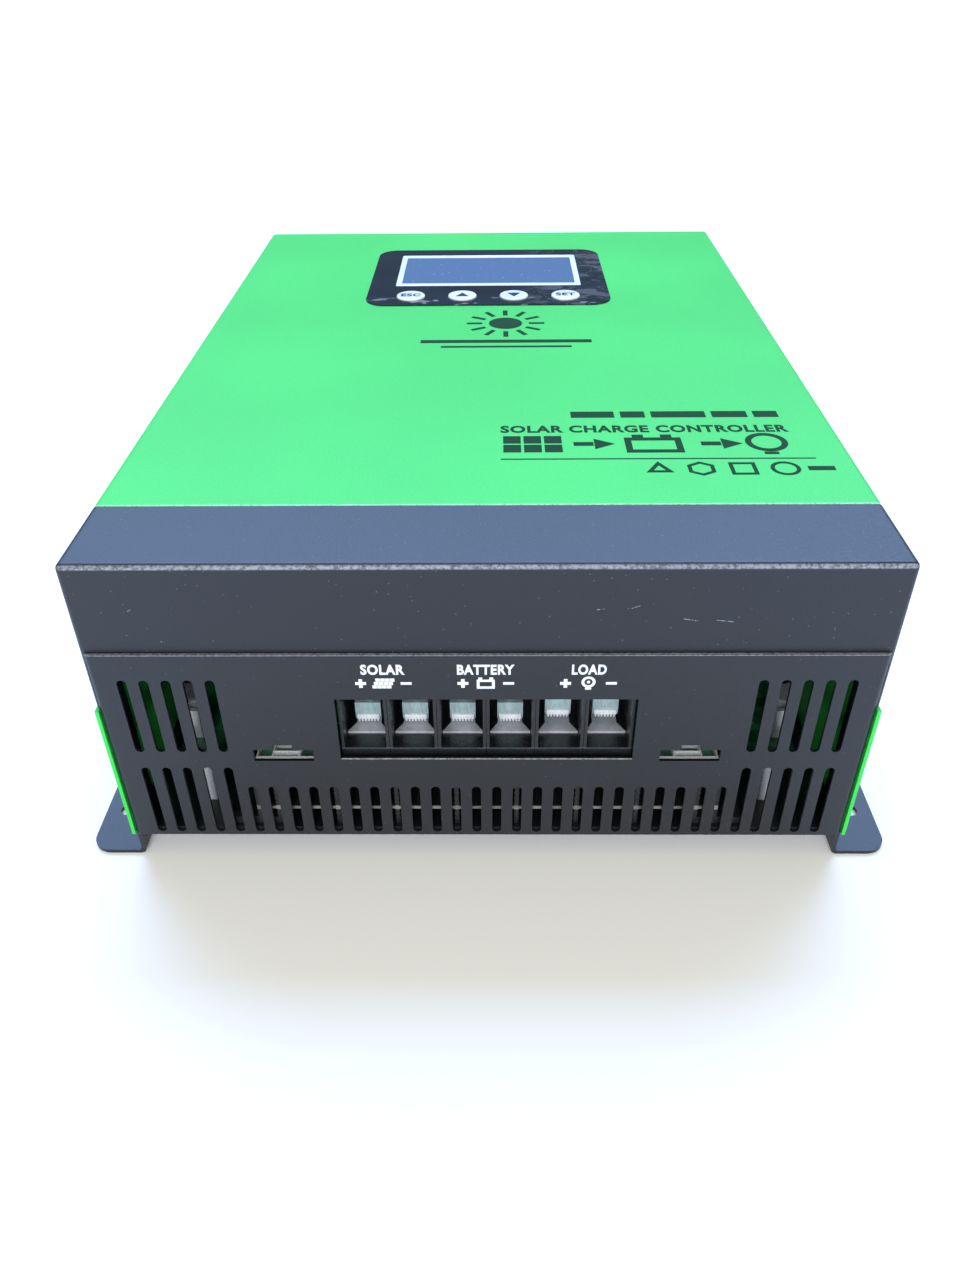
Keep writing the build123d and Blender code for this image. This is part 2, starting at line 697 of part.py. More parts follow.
with BuildPart() as inductor_windings:
    with BuildSketch(Plane.XY.offset(board_top)):
        with Locations(*inductor_places):
            Circle(core_radius + winding_thickness)
            Circle(core_bore - winding_thickness, mode=Mode.SUBTRACT)
    extrude(amount=core_height + 2 * winding_thickness)
    fillet(inductor_windings.edges().filter_by(GeomType.CIRCLE), winding_round)
    with BuildSketch(Plane.XY.offset(board_top + winding_thickness)):
        with Locations(*inductor_places):
            Circle(core_radius)
            Circle(core_bore, mode=Mode.SUBTRACT)
    extrude(amount=core_height, mode=Mode.SUBTRACT)
save(inductor_windings, "inductor_windings")

capacitor_row = ribbon_end - can_plug_gap - can_radius - (can_rows - 1) * can_pitch / 2
with BuildPart() as capacitors:
    with BuildSketch(Plane.XY.offset(board_top)):
        with Locations((0, capacitor_row)):
            with GridLocations(can_pitch, can_pitch, can_columns, can_rows):
                Circle(can_radius)
    extrude(amount=can_height)
    fillet(capacitors.edges().filter_by(GeomType.CIRCLE).group_by(Axis.Z)[-1], can_round)
save(capacitors, "capacitors")

shunt_row = inductor_row + core_radius + shunt_gap
shunt_reach = shunt_half_span + shunt_foot
shunt_top = board_top + shunt_rise
with BuildPart() as current_shunts:
    with BuildSketch(Plane.XZ.offset(-shunt_row)):
        with BuildLine():
            FilletPolyline((-shunt_reach, board_top), (-shunt_half_span, board_top),
                           (-shunt_half_span, shunt_top), (shunt_half_span, shunt_top),
                           (shunt_half_span, board_top), (shunt_reach, board_top),
                           radius=[2 * bend, 2 * shunt_thickness, 2 * shunt_thickness, 2 * bend])
            offset(amount=shunt_thickness, side=Side.LEFT)
        make_face()
    extrude(amount=-shunt_width)
    with Locations((-shunt_spacing, 0, 0), (shunt_spacing, 0, 0)):
        add(current_shunts.part)
save(current_shunts, "current_shunts")

# ---------------------------------------------------------------- terminals: six moulded ports in a row
with BuildPart() as terminal_housings:
    for across in port_places:
        with BuildPart(mode=Mode.PRIVATE) as housing:
            with BuildSketch(Plane.XY.offset(board_top)):
                with Locations((across, housing_front)):
                    Rectangle(port_pitch - housing_gap, housing_depth, align=(Align.CENTER, Align.MIN))
            extrude(amount=housing_height)
            front_edges = housing.edges().filter_by(Axis.X).group_by(Axis.Y)[0]
            chamfer(front_edges.sort_by(Axis.Z)[-1], housing_chamfer)
            with BuildSketch(Plane.XY.offset(port_floor)):
                with Locations((across, housing_front)):
                    Rectangle(port_width, port_back - housing_front, align=(Align.CENTER, Align.MIN))
            extrude(amount=port_height, mode=Mode.SUBTRACT)
            with BuildSketch(Plane.XY.offset(board_top)):
                with Locations((across, port_back)):
                    Rectangle(clamp_width, bar_thickness + fit_gap, align=(Align.CENTER, Align.MAX))
            extrude(amount=port_floor_height, mode=Mode.SUBTRACT)
            with BuildSketch(Plane.XY.offset(port_top)):
                with Locations((across, port_back)):
                    Rectangle(port_width, port_back - housing_front - lintel_depth,
                              align=(Align.CENTER, Align.MAX))
            extrude(amount=housing_height, mode=Mode.SUBTRACT)
            with BuildSketch(Plane.XY.offset(port_top)):
                with Locations((across, terminal_axis)):
                    Rectangle(port_width + 2 * yoke_seat, yoke_depth)
            extrude(amount=-yoke_thickness, mode=Mode.SUBTRACT)
        add(housing.part)
save(terminal_housings, "terminal_housings")

with BuildPart() as terminal_bars:
    for across in port_places:
        half_bar = clamp_width / 2 - fit_gap
        half_mouth = port_width / 2 - fit_gap
        with BuildSketch(Plane.XY.offset(port_floor)):
            with BuildLine():
                Polyline((across - half_mouth, clamp_front - tongue_reach),
                         (across + half_mouth, clamp_front - tongue_reach),
                         (across + half_bar, clamp_front - fit_gap), (across + half_bar, port_back),
                         (across - half_bar, port_back), (across - half_bar, clamp_front - fit_gap),
                         close=True)
            make_face()
        extrude(amount=bar_thickness)
        with BuildSketch(Plane.XY.offset(board_top)):
            with Locations((across, port_back)):
                Rectangle(2 * half_bar, bar_thickness, align=(Align.CENTER, Align.MAX))
        extrude(amount=port_floor_height)
save(terminal_bars, "terminal_bars")

with BuildPart() as terminal_yokes:
    with BuildSketch(Plane.XY.offset(port_top)):
        with Locations(*[(across, terminal_axis) for across in port_places]):
            Rectangle(port_width + 2 * yoke_seat, yoke_depth)
            Circle(terminal_screw_radius + running_fit, mode=Mode.SUBTRACT)
    extrude(amount=-yoke_thickness)
save(terminal_yokes, "terminal_yokes")

for port, across in enumerate(port_places, start=1):
    lift = raised_clamps.get(port, 0.0)
    bottom = clamp_closed + lift
    with BuildPart() as terminal_clamp:
        with BuildSketch(Plane.YZ.offset(across - clamp_width / 2)):
            add(folded_sheet(
                [(clamp_front + clamp_depth, bottom), (clamp_front, bottom),
                 (clamp_front, bottom + clamp_lip)],
                clamp_sheet, [clamp_sheet + bend], Side.RIGHT))
        extrude(amount=clamp_width)
        with BuildSketch(Plane.XY.offset(bottom)):
            with Locations((across, terminal_axis)):
                Circle(terminal_screw_radius / 2 + running_fit)
        extrude(amount=clamp_sheet, mode=Mode.SUBTRACT)
    save(terminal_clamp, f"terminal_clamp_{port}")

    shank_bottom = bottom + clamp_sheet + fit_gap
    head_bottom = port_top + clamp_gap + lift
    with BuildPart() as terminal_screw:
        with BuildSketch(Plane.XY.offset(bottom + fit_gap)):
            with Locations((across, terminal_axis)):
                Circle(terminal_screw_radius / 2)
        extrude(amount=clamp_sheet)
        with BuildSketch(Plane.XY.offset(shank_bottom)):
            with Locations((across, terminal_axis)):
                Circle(terminal_screw_radius)
        extrude(amount=head_bottom - shank_bottom)
        with BuildSketch(Plane.XY.offset(head_bottom)):
            with Locations((across, terminal_axis)):
                Circle(terminal_head_radius)
        extrude(amount=terminal_head_height)
        head_rim = terminal_screw.edges().filter_by(GeomType.CIRCLE).group_by(Axis.Z)[-1]
        chamfer(head_rim, terminal_head_chamfer)
        with BuildSketch(Plane.XY.offset(head_bottom + terminal_head_height)):
            with Locations((across, terminal_axis)):
                Rectangle(2 * terminal_head_radius, driver_slot)
                Rectangle(driver_slot, driver_cross * terminal_head_radius)
        extrude(amount=-driver_depth, mode=Mode.SUBTRACT)
    save(terminal_screw, f"terminal_screw_{port}")

# ---------------------------------------------------------------- display: board, module, frame and lens
display_board_width = overlay_width - 2 * display_board_margin_x
display_board_length = overlay_length - 2 * display_board_margin_y
with BuildPart() as display_board:
    with BuildSketch(Plane.XY.offset(display_board_top)):
        with Locations((0, overlay_centre)):
            Rectangle(display_board_width, display_board_length)
    extrude(amount=-board_thickness)
save(display_board, "display_board")

with BuildPart() as display_studs:
    with BuildSketch(Plane.XY.offset(display_board_top)):
        with Locations((0, overlay_centre)):
            with GridLocations(display_board_width - 2 * display_stud_inset,
                               display_board_length - 2 * display_stud_inset, 2, 2):
                RegularPolygon(display_stud_half, 6, major_radius=False)
    extrude(amount=cover_under - display_board_top)
save(display_studs, "display_studs")

lcd_module_top = display_board_top + lcd_height
with BuildPart() as lcd_module:
    with BuildSketch(Plane.XY.offset(display_board_top)):
        with Locations((0, lcd_centre)):
            Rectangle(lcd_width + 2 * lcd_case_margin, lcd_length + 2 * lcd_case_margin)
    extrude(amount=lcd_height)
    chamfer(lcd_module.faces().filter_by(Plane.XY).sort_by(Axis.Z)[-1].edges(), lcd_case_bevel)
save(lcd_module, "lcd_module")

with BuildPart() as lcd_frame:
    with BuildSketch(Plane.XY.offset(lcd_module_top)):
        with Locations((0, lcd_centre)):
            RectangleRounded(lcd_width, lcd_length, lcd_corner)
            Rectangle(lcd_width - 2 * lcd_border_side, lcd_length - 2 * lcd_border_end, mode=Mode.SUBTRACT)
    extrude(amount=cover_height + overlay_thickness - lcd_sink - lcd_module_top)
save(lcd_frame, "lcd_frame")

with BuildPart() as display_lens:
    with BuildSketch(Plane.XY.offset(cover_height + overlay_thickness - lens_sink)):
        with Locations((0, lcd_centre)):
            Rectangle(lcd_width - 2 * lcd_border_side, lcd_length - 2 * lcd_border_end)
    extrude(amount=-lens_thickness)
save(display_lens, "display_lens")

with BuildPart() as display_overlay:
    with BuildSketch(Plane.XY.offset(cover_height)):
        with Locations((0, overlay_centre)):
            RectangleRounded(overlay_width, overlay_length, overlay_corner)
        with Locations((0, lcd_centre)):
            Rectangle(lcd_width + 2 * fit_gap, lcd_length + 2 * fit_gap, mode=Mode.SUBTRACT)
        with Locations(*[(x, key_row) for x in key_places]):
            Circle(key_radius + key_gap, mode=Mode.SUBTRACT)
    extrude(amount=overlay_thickness)
save(display_overlay, "display_overlay")

# ---------------------------------------------------------------- keys and the switches under them
key_skirt_top = cover_under - key_gap
stem_bottom = display_board_top + switch_height + switch_button + key_travel + fit_gap
for name, across in zip(key_names, key_places):
    with BuildPart() as key:
        with BuildSketch(Plane.XY.offset(key_skirt_top)):
            with Locations((across, key_row)):
                Circle(key_radius)
        extrude(amount=cover_height + overlay_thickness + key_rise - key_skirt_top)
        fillet(key.edges().filter_by(GeomType.CIRCLE).group_by(Axis.Z)[-1], key_crown)
        with BuildSketch(Plane.XY.offset(key_skirt_top)):
            with Locations((across, key_row)):
                Circle(key_radius + key_skirt)
        extrude(amount=-key_skirt_thickness)
        with BuildSketch(Plane.XY.offset(key_skirt_top - key_skirt_thickness)):
            with Locations((across, key_row)):
                Circle(key_stem_radius)
        extrude(amount=stem_bottom - key_skirt_top + key_skirt_thickness)
    save(key, name)

with BuildPart() as tact_switches:
    with BuildSketch(Plane.XY.offset(display_board_top)):
        with Locations(*[(x, key_row) for x in key_places]):
            Rectangle(switch_side, switch_side)
    extrude(amount=switch_height)
    with BuildSketch(Plane.XY.offset(display_board_top + switch_height)):
        with Locations(*[(x, key_row) for x in key_places]):
            Circle(key_stem_radius)
    extrude(amount=switch_button)
save(tact_switches, "tact_switches")

# ---------------------------------------------------------------- ribbon cable between the two boards
ribbon_top = display_board_top - board_thickness - plug_height
with BuildPart() as display_cable:
    with BuildSketch(Plane.YZ.offset(ribbon_across - ribbon_width / 2)):
        add(folded_sheet(
            [(ribbon_start, ribbon_top), (ribbon_start, ribbon_top - ribbon_tail),
             (ribbon_end, board_top + plug_height + ribbon_tail), (ribbon_end, board_top + plug_height)],
            ribbon_thickness, [ribbon_bend, ribbon_bend], Side.LEFT))
    extrude(amount=ribbon_width)
save(display_cable, "display_cable")

with BuildPart() as cable_plugs:
    for row, base, rise in ((ribbon_start, display_board_top - board_thickness, -plug_height),
                            (ribbon_end, board_top, plug_height)):
        with BuildSketch(Plane.XY.offset(base)):
            with Locations((ribbon_across, row + ribbon_thickness / 2)):
                Rectangle(ribbon_width + 2 * plug_margin, plug_depth)
        extrude(amount=rise)
save(cable_plugs, "cable_plugs")

# ---------------------------------------------------------------- fans: frame, rotor, guard, screws
for hand, across in fan_places:
    with BuildPart() as fan_frame:
        with BuildSketch(Plane.XZ.offset(-fan_front)):
            with Locations((across, fan_centre)):
                RectangleRounded(fan_size, fan_size, fan_corner)
                Circle(fan_bore, mode=Mode.SUBTRACT)
                with GridLocations(fan_hole_pitch, fan_hole_pitch, 2, 2):
                    Circle(screw_radius + screw_clearance, mode=Mode.SUBTRACT)
        extrude(amount=-fan_depth)
        with BuildSketch(Plane.XZ.offset(-fan_front)):
            with Locations((across, fan_centre)):
                Circle(rotor_hub)
                with PolarLocations(0, 4, start_angle=45):
                    Rectangle(fan_bore + fan_arm, fan_arm, align=(Align.MIN, Align.CENTER))
                Circle(shaft_radius + running_fit, mode=Mode.SUBTRACT)
        extrude(amount=-fan_plate)
        with BuildSketch(Plane.XZ.offset(-fan_front - fan_plate)):
            with Locations((across, fan_centre)):
                Circle(shaft_radius + fan_sleeve_wall)
                Circle(shaft_radius + running_fit, mode=Mode.SUBTRACT)
        extrude(amount=-fan_sleeve)
    save(fan_frame, f"fan_frame_{hand}")

    rotor_front = fan_front + fan_plate + fan_running_gap
    rotor_rear = fan_rear - fan_running_gap
    with BuildPart() as fan_rotor:
        with BuildSketch(Plane.XZ.offset(-rotor_front)):
            with Locations((across, fan_centre)):
                Circle(rotor_hub)
        extrude(amount=rotor_front - rotor_rear)
        fillet(fan_rotor.edges().filter_by(GeomType.CIRCLE).group_by(Axis.Y)[-1], rotor_round)
        with BuildSketch(Plane.XZ.offset(-rotor_front)):
            with Locations((across, fan_centre)):
                Circle(rotor_hub - rotor_wall)
        extrude(amount=rotor_front - rotor_rear + rotor_wall, mode=Mode.SUBTRACT)
        with BuildSketch(Plane.XZ.offset(-fan_front)):
            with Locations((across, fan_centre)):
                Circle(shaft_radius)
        extrude(amount=fan_front - rotor_rear)
        blade_middle = (rotor_front + rotor_rear) / 2
        hub_centre = Vector(across, blade_middle, fan_centre)
        with BuildPart(mode=Mode.PRIVATE) as blade_ring:
            for index in range(blade_count):
                turn = 2 * pi * index / blade_count
                outward = Vector(cos(turn), 0, sin(turn))
                root = hub_centre + outward * (rotor_hub - blade_root)
                with BuildSketch(Plane(origin=root, x_dir=(0, 1, 0), z_dir=outward)):
                    Rectangle(blade_chord, blade_thickness, rotation=blade_pitch_angle)
                extrude(amount=rotor_radius - rotor_hub + 4 * blade_root)
            with BuildSketch(Plane.XZ.offset(-rotor_front)):
                with Locations((across, fan_centre)):
                    Circle(rotor_radius)
                    Circle(rotor_hub - blade_root, mode=Mode.SUBTRACT)
            extrude(amount=rotor_front - rotor_rear, mode=Mode.INTERSECT)
        add(blade_ring.part)
    save(fan_rotor, f"fan_rotor_{hand}")

with BuildPart() as fan_guards:
    lug_reach = fan_hole_pitch / 2 ** 0.5
    with BuildSketch(Plane.XZ.offset(-rear_face)):
        for _, across in fan_places:
            with Locations((across, fan_centre)):
                for ring in guard_rings:
                    Circle(ring + guard_wire)
                    Circle(ring - guard_wire, mode=Mode.SUBTRACT)
                with PolarLocations(0, 4, start_angle=45):
                    with Locations((guard_rings[-1], 0)):
                        Rectangle(lug_reach - guard_rings[-1], 2 * guard_wire,
                                  align=(Align.MIN, Align.CENTER))
                    with Locations((lug_reach, 0)):
                        Circle(head_radius)
                        Circle(screw_radius + running_fit, mode=Mode.SUBTRACT)
    extrude(amount=-2 * guard_wire)
save(fan_guards, "fan_guards")

fan_screw = pan_screw(screw_radius, fan_head_radius, fan_head_height, fan_screw_length)
with BuildPart() as fan_screws:
    for _, across in fan_places:
        with Locations(Plane(origin=(across, rear_face + 2 * guard_wire, fan_centre), z_dir=(0, 1, 0))):
            with GridLocations(fan_hole_pitch, fan_hole_pitch, 2, 2):
                add(fan_screw)
save(fan_screws, "fan_screws")
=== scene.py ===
"""Charge controller: paint, metal, plastic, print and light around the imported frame.

Each sub-assembly is a class that models its own extra pieces and dresses its CAD nodes. Each finish is a
frozen dataclass that builds one procedural material. Everything is in metres, in the frame's own axes.
"""
import logging
import math
from dataclasses import dataclass
from enum import Enum
from typing import Callable, Iterable, Optional

import bmesh
import bpy
from mathutils import Matrix, Vector


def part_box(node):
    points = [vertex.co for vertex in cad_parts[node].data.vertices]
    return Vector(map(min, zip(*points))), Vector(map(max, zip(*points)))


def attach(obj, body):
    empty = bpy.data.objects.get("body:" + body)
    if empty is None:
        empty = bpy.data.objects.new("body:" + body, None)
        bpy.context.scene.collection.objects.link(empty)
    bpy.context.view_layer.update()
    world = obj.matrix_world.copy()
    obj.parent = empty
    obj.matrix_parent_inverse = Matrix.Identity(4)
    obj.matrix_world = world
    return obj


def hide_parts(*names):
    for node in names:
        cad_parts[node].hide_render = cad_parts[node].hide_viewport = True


LOG = logging.getLogger("charge_controller")
MM = 0.001
Colour = tuple[float, float, float]
Point = tuple[float, float, float]
ORIGIN: Point = (0.0, 0.0, 0.0)
UP: Point = (0.0, 0.0, 1.0)


# ------------------------------------------------------------------------------------- shader maths
class Wave:
    """A shader value that can stand in ordinary arithmetic."""

    def __init__(self, graph: "Graph", socket: bpy.types.NodeSocket) -> None:
        """Wrap one output socket of a graph.

        Args:
            graph: The material's graph, which new Math nodes go into.
            socket: The socket that carries the value.
        """
        self.graph = graph
        self.socket = socket

    def _math(self, operation: str, first: object, second: object = None) -> "Wave":
        """Add one Math node.

        Args:
            operation: The Math node's operation.
            first: The first operand, a number or a value.
            second: The second operand, if the operation has one.

        Returns:
            The node's result.
        """
        return self.graph.value("ShaderNodeMath", {"operation": operation}, {0: first, 1: second})

    def __add__(self, other: object) -> "Wave":
        """Sum."""
        return self._math("ADD", self, other)

    def __radd__(self, other: object) -> "Wave":
        """Sum, reflected."""
        return self._math("ADD", other, self)

    def __sub__(self, other: object) -> "Wave":
        """Difference."""
        return self._math("SUBTRACT", self, other)

    def __rsub__(self, other: object) -> "Wave":
        """Difference, reflected."""
        return self._math("SUBTRACT", other, self)

    def __mul__(self, other: object) -> "Wave":
        """Product."""
        return self._math("MULTIPLY", self, other)

    def __rmul__(self, other: object) -> "Wave":
        """Product, reflected."""
        return self._math("MULTIPLY", other, self)

    def __gt__(self, other: object) -> "Wave":
        """One where this value is larger, and otherwise zero."""
        return self._math("GREATER_THAN", self, other)

    def __lt__(self, other: object) -> "Wave":
        """One where this value is smaller, and otherwise zero."""
        return self._math("LESS_THAN", self, other)

    def __abs__(self) -> "Wave":
        """Size without sign."""
        return self._math("ABSOLUTE", self)

    def modulo(self, period: float) -> "Wave":
        """Remainder after whole periods, never negative."""
        return self._math("FLOORED_MODULO", self, period)

    def sine(self) -> "Wave":
        """Sine of the value in radians."""
        return self._math("SINE", self)

    def ramp(self, low: float, high: float) -> "Wave":
        """Rise smoothly from zero at one value to one at another.

        Args:
            low: The value at which the result is zero.
            high: The value at which the result is one.

        Returns:
            The smoothed step.
        """
        return self.graph.value("ShaderNodeMapRange", {"interpolation_type": "SMOOTHSTEP"},
                                {"Value": self, "From Min": low, "From Max": high})

    def near(self, place: float, full: float, none: float) -> "Wave":
        """One close to a value, fading to zero on both sides of it.

        Args:
            place: The value.
            full: How far from it the result is still one.
            none: How far from it the result is zero.

        Returns:
            The band.
        """
        return 1.0 - abs(self - place).ramp(full, none)


class Graph:
    """A material's node tree, written as expressions."""

    def __init__(self, name: str) -> None:
        """Start a material with one Principled shader.

        Args:
            name: The material's name.
        """
        self.material = bpy.data.materials.new(name)
        self.material.use_nodes = True
        self.tree = self.material.node_tree
        self.shader = next(n for n in self.tree.nodes if n.type == "BSDF_PRINCIPLED")
        self.place = self.node("ShaderNodeTexCoord").outputs["Object"]
        parts = self.node("ShaderNodeSeparateXYZ", inputs={"Vector": self.place})
        self.x, self.y, self.z = (Wave(self, axis) for axis in parts.outputs)

    def _feed(self, target: bpy.types.NodeSocket, value: object) -> None:
        """Link a socket, or set it to a constant.

        Args:
            target: The socket.
            value: A number, a vector, a colour, a Wave or another socket.
        """
        if isinstance(value, Wave):
            value = value.socket
        if isinstance(value, bpy.types.NodeSocket):
            self.tree.links.new(value, target)
        elif target.type == "RGBA":
            target.default_value = (*value, 1.0)
        else:
            target.default_value = value

    def node(self, kind: str, settings: Optional[dict] = None,
             inputs: Optional[dict] = None) -> bpy.types.Node:
        """Add one node.

        Args:
            kind: The node's type.
            settings: Attributes that are set first, such as an operation.
            inputs: Socket names, identifiers or numbers, with what each is given. None leaves a
                socket as it is.

        Returns:
            The new node.
        """
        made = self.tree.nodes.new(kind)
        for key, value in (settings or {}).items():
            setattr(made, key, value)
        for key, value in (inputs or {}).items():
            if value is None:
                continue
            if isinstance(key, int):
                target = made.inputs[key]
            else:
                target = next(s for s in made.inputs if key in (s.identifier, s.name))
            self._feed(target, value)
        return made

    def value(self, kind: str, settings: Optional[dict] = None, inputs: Optional[dict] = None) -> Wave:
        """Add one node and wrap its first output.

        Args:
            kind: The node's type.
            settings: Attributes that are set first.
            inputs: What its sockets are given.

        Returns:
            The output as a value.
        """
        return Wave(self, self.node(kind, settings, inputs).outputs[0])

    def stretched(self, scale: Point) -> bpy.types.NodeSocket:
        """Object coordinates, scaled differently along each axis."""
        return self.node("ShaderNodeMapping", inputs={"Vector": self.place, "Scale": scale}).outputs[0]

    def noise(self, size: float, detail: float = 2.0, place: Optional[bpy.types.NodeSocket] = None,
              roughness: float = 0.5) -> Wave:
        """Cloud noise.

        Args:
            size: The size of its features in metres.
            detail: Octaves of finer noise.
            place: Coordinates, if not the plain object coordinates.
            roughness: The strength of the finer octaves.

        Returns:
            The noise, mostly between 0.3 and 0.7.
        """
        return self.value("ShaderNodeTexNoise", None, {
            "Vector": place or self.place, "Scale": 1.0 / size, "Detail": detail, "Roughness": roughness})

    def cells(self, size: float) -> Wave:
        """Distance to the nearest of many scattered points, as a share of their spacing in metres."""
        return self.value("ShaderNodeTexVoronoi", None, {"Vector": self.place, "Scale": 1.0 / size})

    def mix(self, factor: object, first: object, second: object) -> bpy.types.NodeSocket:
        """Blend two colours.

        Args:
            factor: Zero gives the first colour, one the second.
            first: A colour or a colour socket.
            second: A colour or a colour socket.

        Returns:
            The blended colour's socket.
        """
        made = self.node("ShaderNodeMix", {"data_type": "RGBA"}, {
            "Factor_Float": factor, "A_Color": first, "B_Color": second})
        return next(s for s in made.outputs if s.identifier == "Result_Color")

    def mottled(self, colour: Colour, pattern: Wave, dark: float, light: float,
                low: float = 0.3, high: float = 0.7) -> bpy.types.NodeSocket:
        """A colour that grows darker and lighter with a pattern.

        Args:
            colour: The middle colour.
            pattern: The pattern.
            dark: The darkest shade, as a factor of the colour.
            light: The lightest shade, as a factor of the colour.
            low: The pattern's value at the darkest shade.
            high: The pattern's value at the lightest shade.

        Returns:
            The colour's socket.
        """
        return self.mix(pattern.ramp(low, high), shade(colour, dark), shade(colour, light))

    def bump(self, height: Wave, depth: float, strength: float = 1.0) -> bpy.types.NodeSocket:
        """Turn a height into a normal.

        Args:
            height: The height, from zero to one.
            depth: How deep one unit of height is, in metres.
            strength: The share of the bump that shows.

        Returns:
            The normal's socket.
        """
        return self.node("ShaderNodeBump", None, {
            "Height": height, "Distance": depth, "Strength": strength}).outputs[0]

    def finish(self, **sockets: object) -> bpy.types.Material:
        """Feed the Principled shader and hand back the material.

        Args:
            sockets: Its socket names, with underscores for spaces.

        Returns:
            The material.
        """
        for key, value in sockets.items():
            self._feed(self.shader.inputs[key.replace("_", " ")], value)
        return self.material


def shade(colour: Colour, factor: float) -> Colour:
    """A colour made lighter or darker."""
    return tuple(min(1.0, c * factor) for c in colour)


# ----------------------------------------------------------------------------------------- finishes
@dataclass(frozen=True)
class Scratch:
    """One short bare scratch on a wall that looks along -Y."""

    x: float
    z: float
    turn: float
    half_length: float
    core: float = 0.05 * MM
    edge: float = 0.16 * MM
    break_size: float = 0.6 * MM

    def mask(self, g: Graph) -> Wave:
        """Where the paint is scratched.

        Args:
            g: The paint's graph.

        Returns:
            One on the scratch, zero off it.
        """
        lean, rise = math.cos(math.radians(self.turn)), math.sin(math.radians(self.turn))
        along = (g.x - self.x) * lean + (g.z - self.z) * rise
        beside = (g.z - self.z) * lean - (g.x - self.x) * rise
        line = (abs(along) < self.half_length) * (1.0 - abs(beside).ramp(self.core, self.edge))
        return line * g.noise(self.break_size, 1.0).ramp(0.35, 0.6) * (g.y < 0.0)


@dataclass(frozen=True)
class EdgeHighlight:
    """Painted highlights along the upper rim and the window's sill of a wall that looks along -Y."""

    front_y: float
    rim_z: float
    sill_z: float
    sill_half: float
    rim_reach: float = 10.0 * MM
    sill_reach: float = 0.4 * MM
    sill_edge: float = 0.1 * MM
    sill_highlight_colour: Colour = (0.75, 0.77, 0.8)


@dataclass(frozen=True)
class PowderCoat:
    """Baked powder paint: fine orange peel, clouding, dust specks, short scratches and painted highlights
    along edges.
    """

    name: str
    colour: Colour
    roughness: float
    peel_size: float
    peel_depth: float
    speck_colour: Colour
    speck_amount: float
    scratches: tuple[Scratch, ...] = ()
    specular: float = 0.5
    wear: Optional[EdgeHighlight] = None
    # where a highlight is painted along a rounded edge, and the painted highlight's colour
    glint_y: Optional[float] = None
    glint_z: float = 0.0
    glint_colour: Colour = (0.30, 0.33, 0.40)
    scratch_colour: Colour = (0.34, 0.37, 0.42)
    cloud_size: float = 90.0 * MM
    highlight_break_size: float = 1.2 * MM
    speck_pitch: float = 2.6 * MM
    speck_patch: float = 4.0 * MM
    glint_width: tuple[float, float] = (0.3 * MM, 0.9 * MM)
    rim_width: tuple[float, float] = (0.35 * MM, 0.05 * MM)

    def material(self) -> bpy.types.Material:
        """Build the paint.

        Returns:
            The material.
        """
        g = Graph(self.name)
        cloud = g.noise(self.cloud_size, 3.0)
        peel = g.noise(self.peel_size, 2.0)
        colour = g.mottled(self.colour, cloud, 0.955, 1.045)
        grain = g.noise(self.peel_size * 0.6, 2.0, roughness=0.7).ramp(0.46, 0.70)
        colour = g.mix(grain * 0.16, colour, shade(self.colour, 2.2))
        speck = (g.cells(self.speck_pitch) < 0.085) * (g.noise(self.speck_patch, 1.0) > 0.5)
        colour = g.mix(speck * self.speck_amount, colour, self.speck_colour)
        for scratch in self.scratches:
            colour = g.mix(scratch.mask(g) * 0.9, colour, self.scratch_colour)
        # pattern that breaks up the painted highlights
        highlight_break = g.noise(self.highlight_break_size, 3.0, roughness=0.7)
        # painted highlights on the front panel's upper rim and window sill
        if self.wear:
            colour = self._paint_edge_highlights(g, colour, highlight_break)
        # painted highlight: a thin light band along one rounded edge
        if self.glint_y is not None:
            edge = g.y.near(self.glint_y, *self.glint_width) * g.z.near(self.glint_z, *self.glint_width)
            colour = g.mix(edge * (0.25 + highlight_break.ramp(0.35, 0.6) * 0.75), colour, self.glint_colour)
        rough = self.roughness + (cloud - 0.5) * 0.10 + (peel - 0.5) * 0.12
        return g.finish(Base_Color=colour, Roughness=rough, Specular_IOR_Level=self.specular,
                        Normal=g.bump(peel, self.peel_depth))

    def _paint_edge_highlights(self, g: Graph, colour: bpy.types.NodeSocket, highlight_break: Wave) -> bpy.types.NodeSocket:
        """Paint highlights on the wall's upper rim and on the window's sill.

        Args:
            g: The paint's graph.
            colour: The colour so far.
            highlight_break: The pattern that breaks the painted highlights up.

        Returns:
            The colour with both painted highlights.
        """
        wear = self.wear
        # painted highlight along the wall's upper rim, broken up by a pattern
        rim = g.z.ramp(*(wear.rim_z - width for width in self.rim_width))
        bare = rim * (0.35 + 0.65 * highlight_break.ramp(0.34, 0.60)) * (g.y < wear.front_y + wear.rim_reach)
        colour = g.mix(bare, colour, self.glint_colour)
        # painted highlight along the window's sill
        sill = (abs(g.z - wear.sill_z) < wear.sill_edge) * (abs(g.x) < wear.sill_half)
        sill = sill * (g.y < wear.front_y + wear.sill_reach) * (0.5 + 0.5 * highlight_break.ramp(0.4, 0.6))
        return g.mix(sill, colour, wear.sill_highlight_colour)


